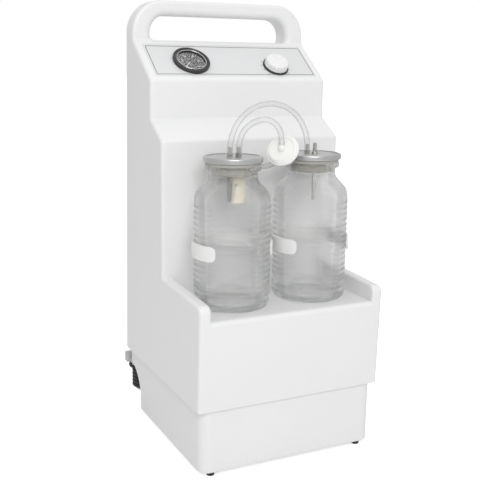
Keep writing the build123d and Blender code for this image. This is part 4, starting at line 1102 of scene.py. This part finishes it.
@dataclass
class Studio:
    """Pale floor, soft light and the camera of the photograph."""

    eye: Point = (-670.1, -1148.1, 678.7)
    focal: float = 62.81
    forward: Point = (0.43147, 0.87685, -0.21209)
    right: Point = (0.89726, -0.44151, 0.0)
    roll: float = 0.0145450875
    world_light: float = 0.69
    floor_radius: float = 30.0
    floor_drop: float = 0.0002
    floor_colour: Colour = (0.86, 0.86, 0.86)
    floor_roughness: float = 0.9
    floor_glow: float = 0.6

    def place_camera(self) -> None:
        """Create the camera at the photograph's place and angle."""
        forward, right = Vector(self.forward).normalized(), Vector(self.right).normalized()
        up = right.cross(forward).normalized()
        across = right * math.cos(self.roll) + up * math.sin(self.roll)
        upward = up * math.cos(self.roll) - right * math.sin(self.roll)
        turn = Matrix((across, upward, -forward)).transposed().to_4x4()
        lens = bpy.data.cameras.new("camera")
        lens.sensor_width = 36.0
        lens.lens = self.focal
        lens.clip_end = 60.0
        camera = bpy.data.objects.new("camera", lens)
        camera.matrix_world = Matrix.Translation(at(*self.eye)) @ turn
        bpy.context.scene.collection.objects.link(camera)
        bpy.context.scene.camera = camera

    def lay_floor(self) -> None:
        """Lay a wide pale floor that stays white round the unit's shadow."""
        clear_selection()
        place = (0, 0, -self.floor_drop)
        bpy.ops.mesh.primitive_circle_add(
            vertices=64, radius=self.floor_radius, fill_type="NGON", location=place
        )
        floor = bpy.context.object
        floor.name = "studio_floor"
        material = bpy.data.materials.new("studio_floor")
        material.use_nodes = True
        shader = material.node_tree.nodes["Principled BSDF"]
        shader.inputs["Base Color"].default_value = (*self.floor_colour, 1)
        shader.inputs["Roughness"].default_value = self.floor_roughness
        shader.inputs["Emission Color"].default_value = (1, 1, 1, 1)
        path = material.node_tree.nodes.new("ShaderNodeLightPath")
        glow = material.node_tree.nodes.new("ShaderNodeMath")
        glow.operation = "MULTIPLY"
        glow.inputs[1].default_value = self.floor_glow
        material.node_tree.links.new(path.outputs["Is Camera Ray"], glow.inputs[0])
        material.node_tree.links.new(glow.outputs[0], shader.inputs["Emission Strength"])
        floor.data.materials.append(material)
        clear_selection()

    def light_world(self) -> None:
        """Light from all round, and a white background where it is seen."""
        world = bpy.data.worlds.new("studio")
        world.use_nodes = True
        bpy.context.scene.world = world
        nodes, links = world.node_tree.nodes, world.node_tree.links
        back = nodes["Background"]
        back.inputs["Color"].default_value = (1, 1, 1, 1)
        path = nodes.new("ShaderNodeLightPath")
        seen = nodes.new("ShaderNodeMath")
        seen.operation = "MAXIMUM"
        level = nodes.new("ShaderNodeMapRange")
        level.inputs["To Min"].default_value = self.world_light
        level.inputs["To Max"].default_value = 1.0
        links.new(path.outputs["Is Camera Ray"], seen.inputs[0])
        links.new(path.outputs["Is Transmission Ray"], seen.inputs[1])
        links.new(seen.outputs[0], level.inputs["Value"])
        links.new(level.outputs["Result"], back.inputs["Strength"])

    def build(self) -> None:
        """Set up camera, floor, world and lamps, with plain colours."""
        self.place_camera()
        self.lay_floor()
        self.light_world()
        for lamp in LAMPS:
            lamp.hang()
        bpy.context.scene.view_settings.view_transform = "Standard"


def main() -> None:
    """Load the frame, dress it and add every piece in order."""
    logging.basicConfig(level=logging.INFO, format="%(name)s: %(message)s")
    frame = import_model()
    wardrobe = Wardrobe()
    wardrobe.dress_nodes(frame["nodes"], frame["record"])
    Jars().build(wardrobe)
    Panel().build(wardrobe)
    RoundFilter().build(wardrobe)
    Hoses().build(wardrobe)
    MainsLead().build(wardrobe, frame["nodes"])
    RearPlate().build(wardrobe)
    Studio().build()


if __name__ == "__main__":
    main()
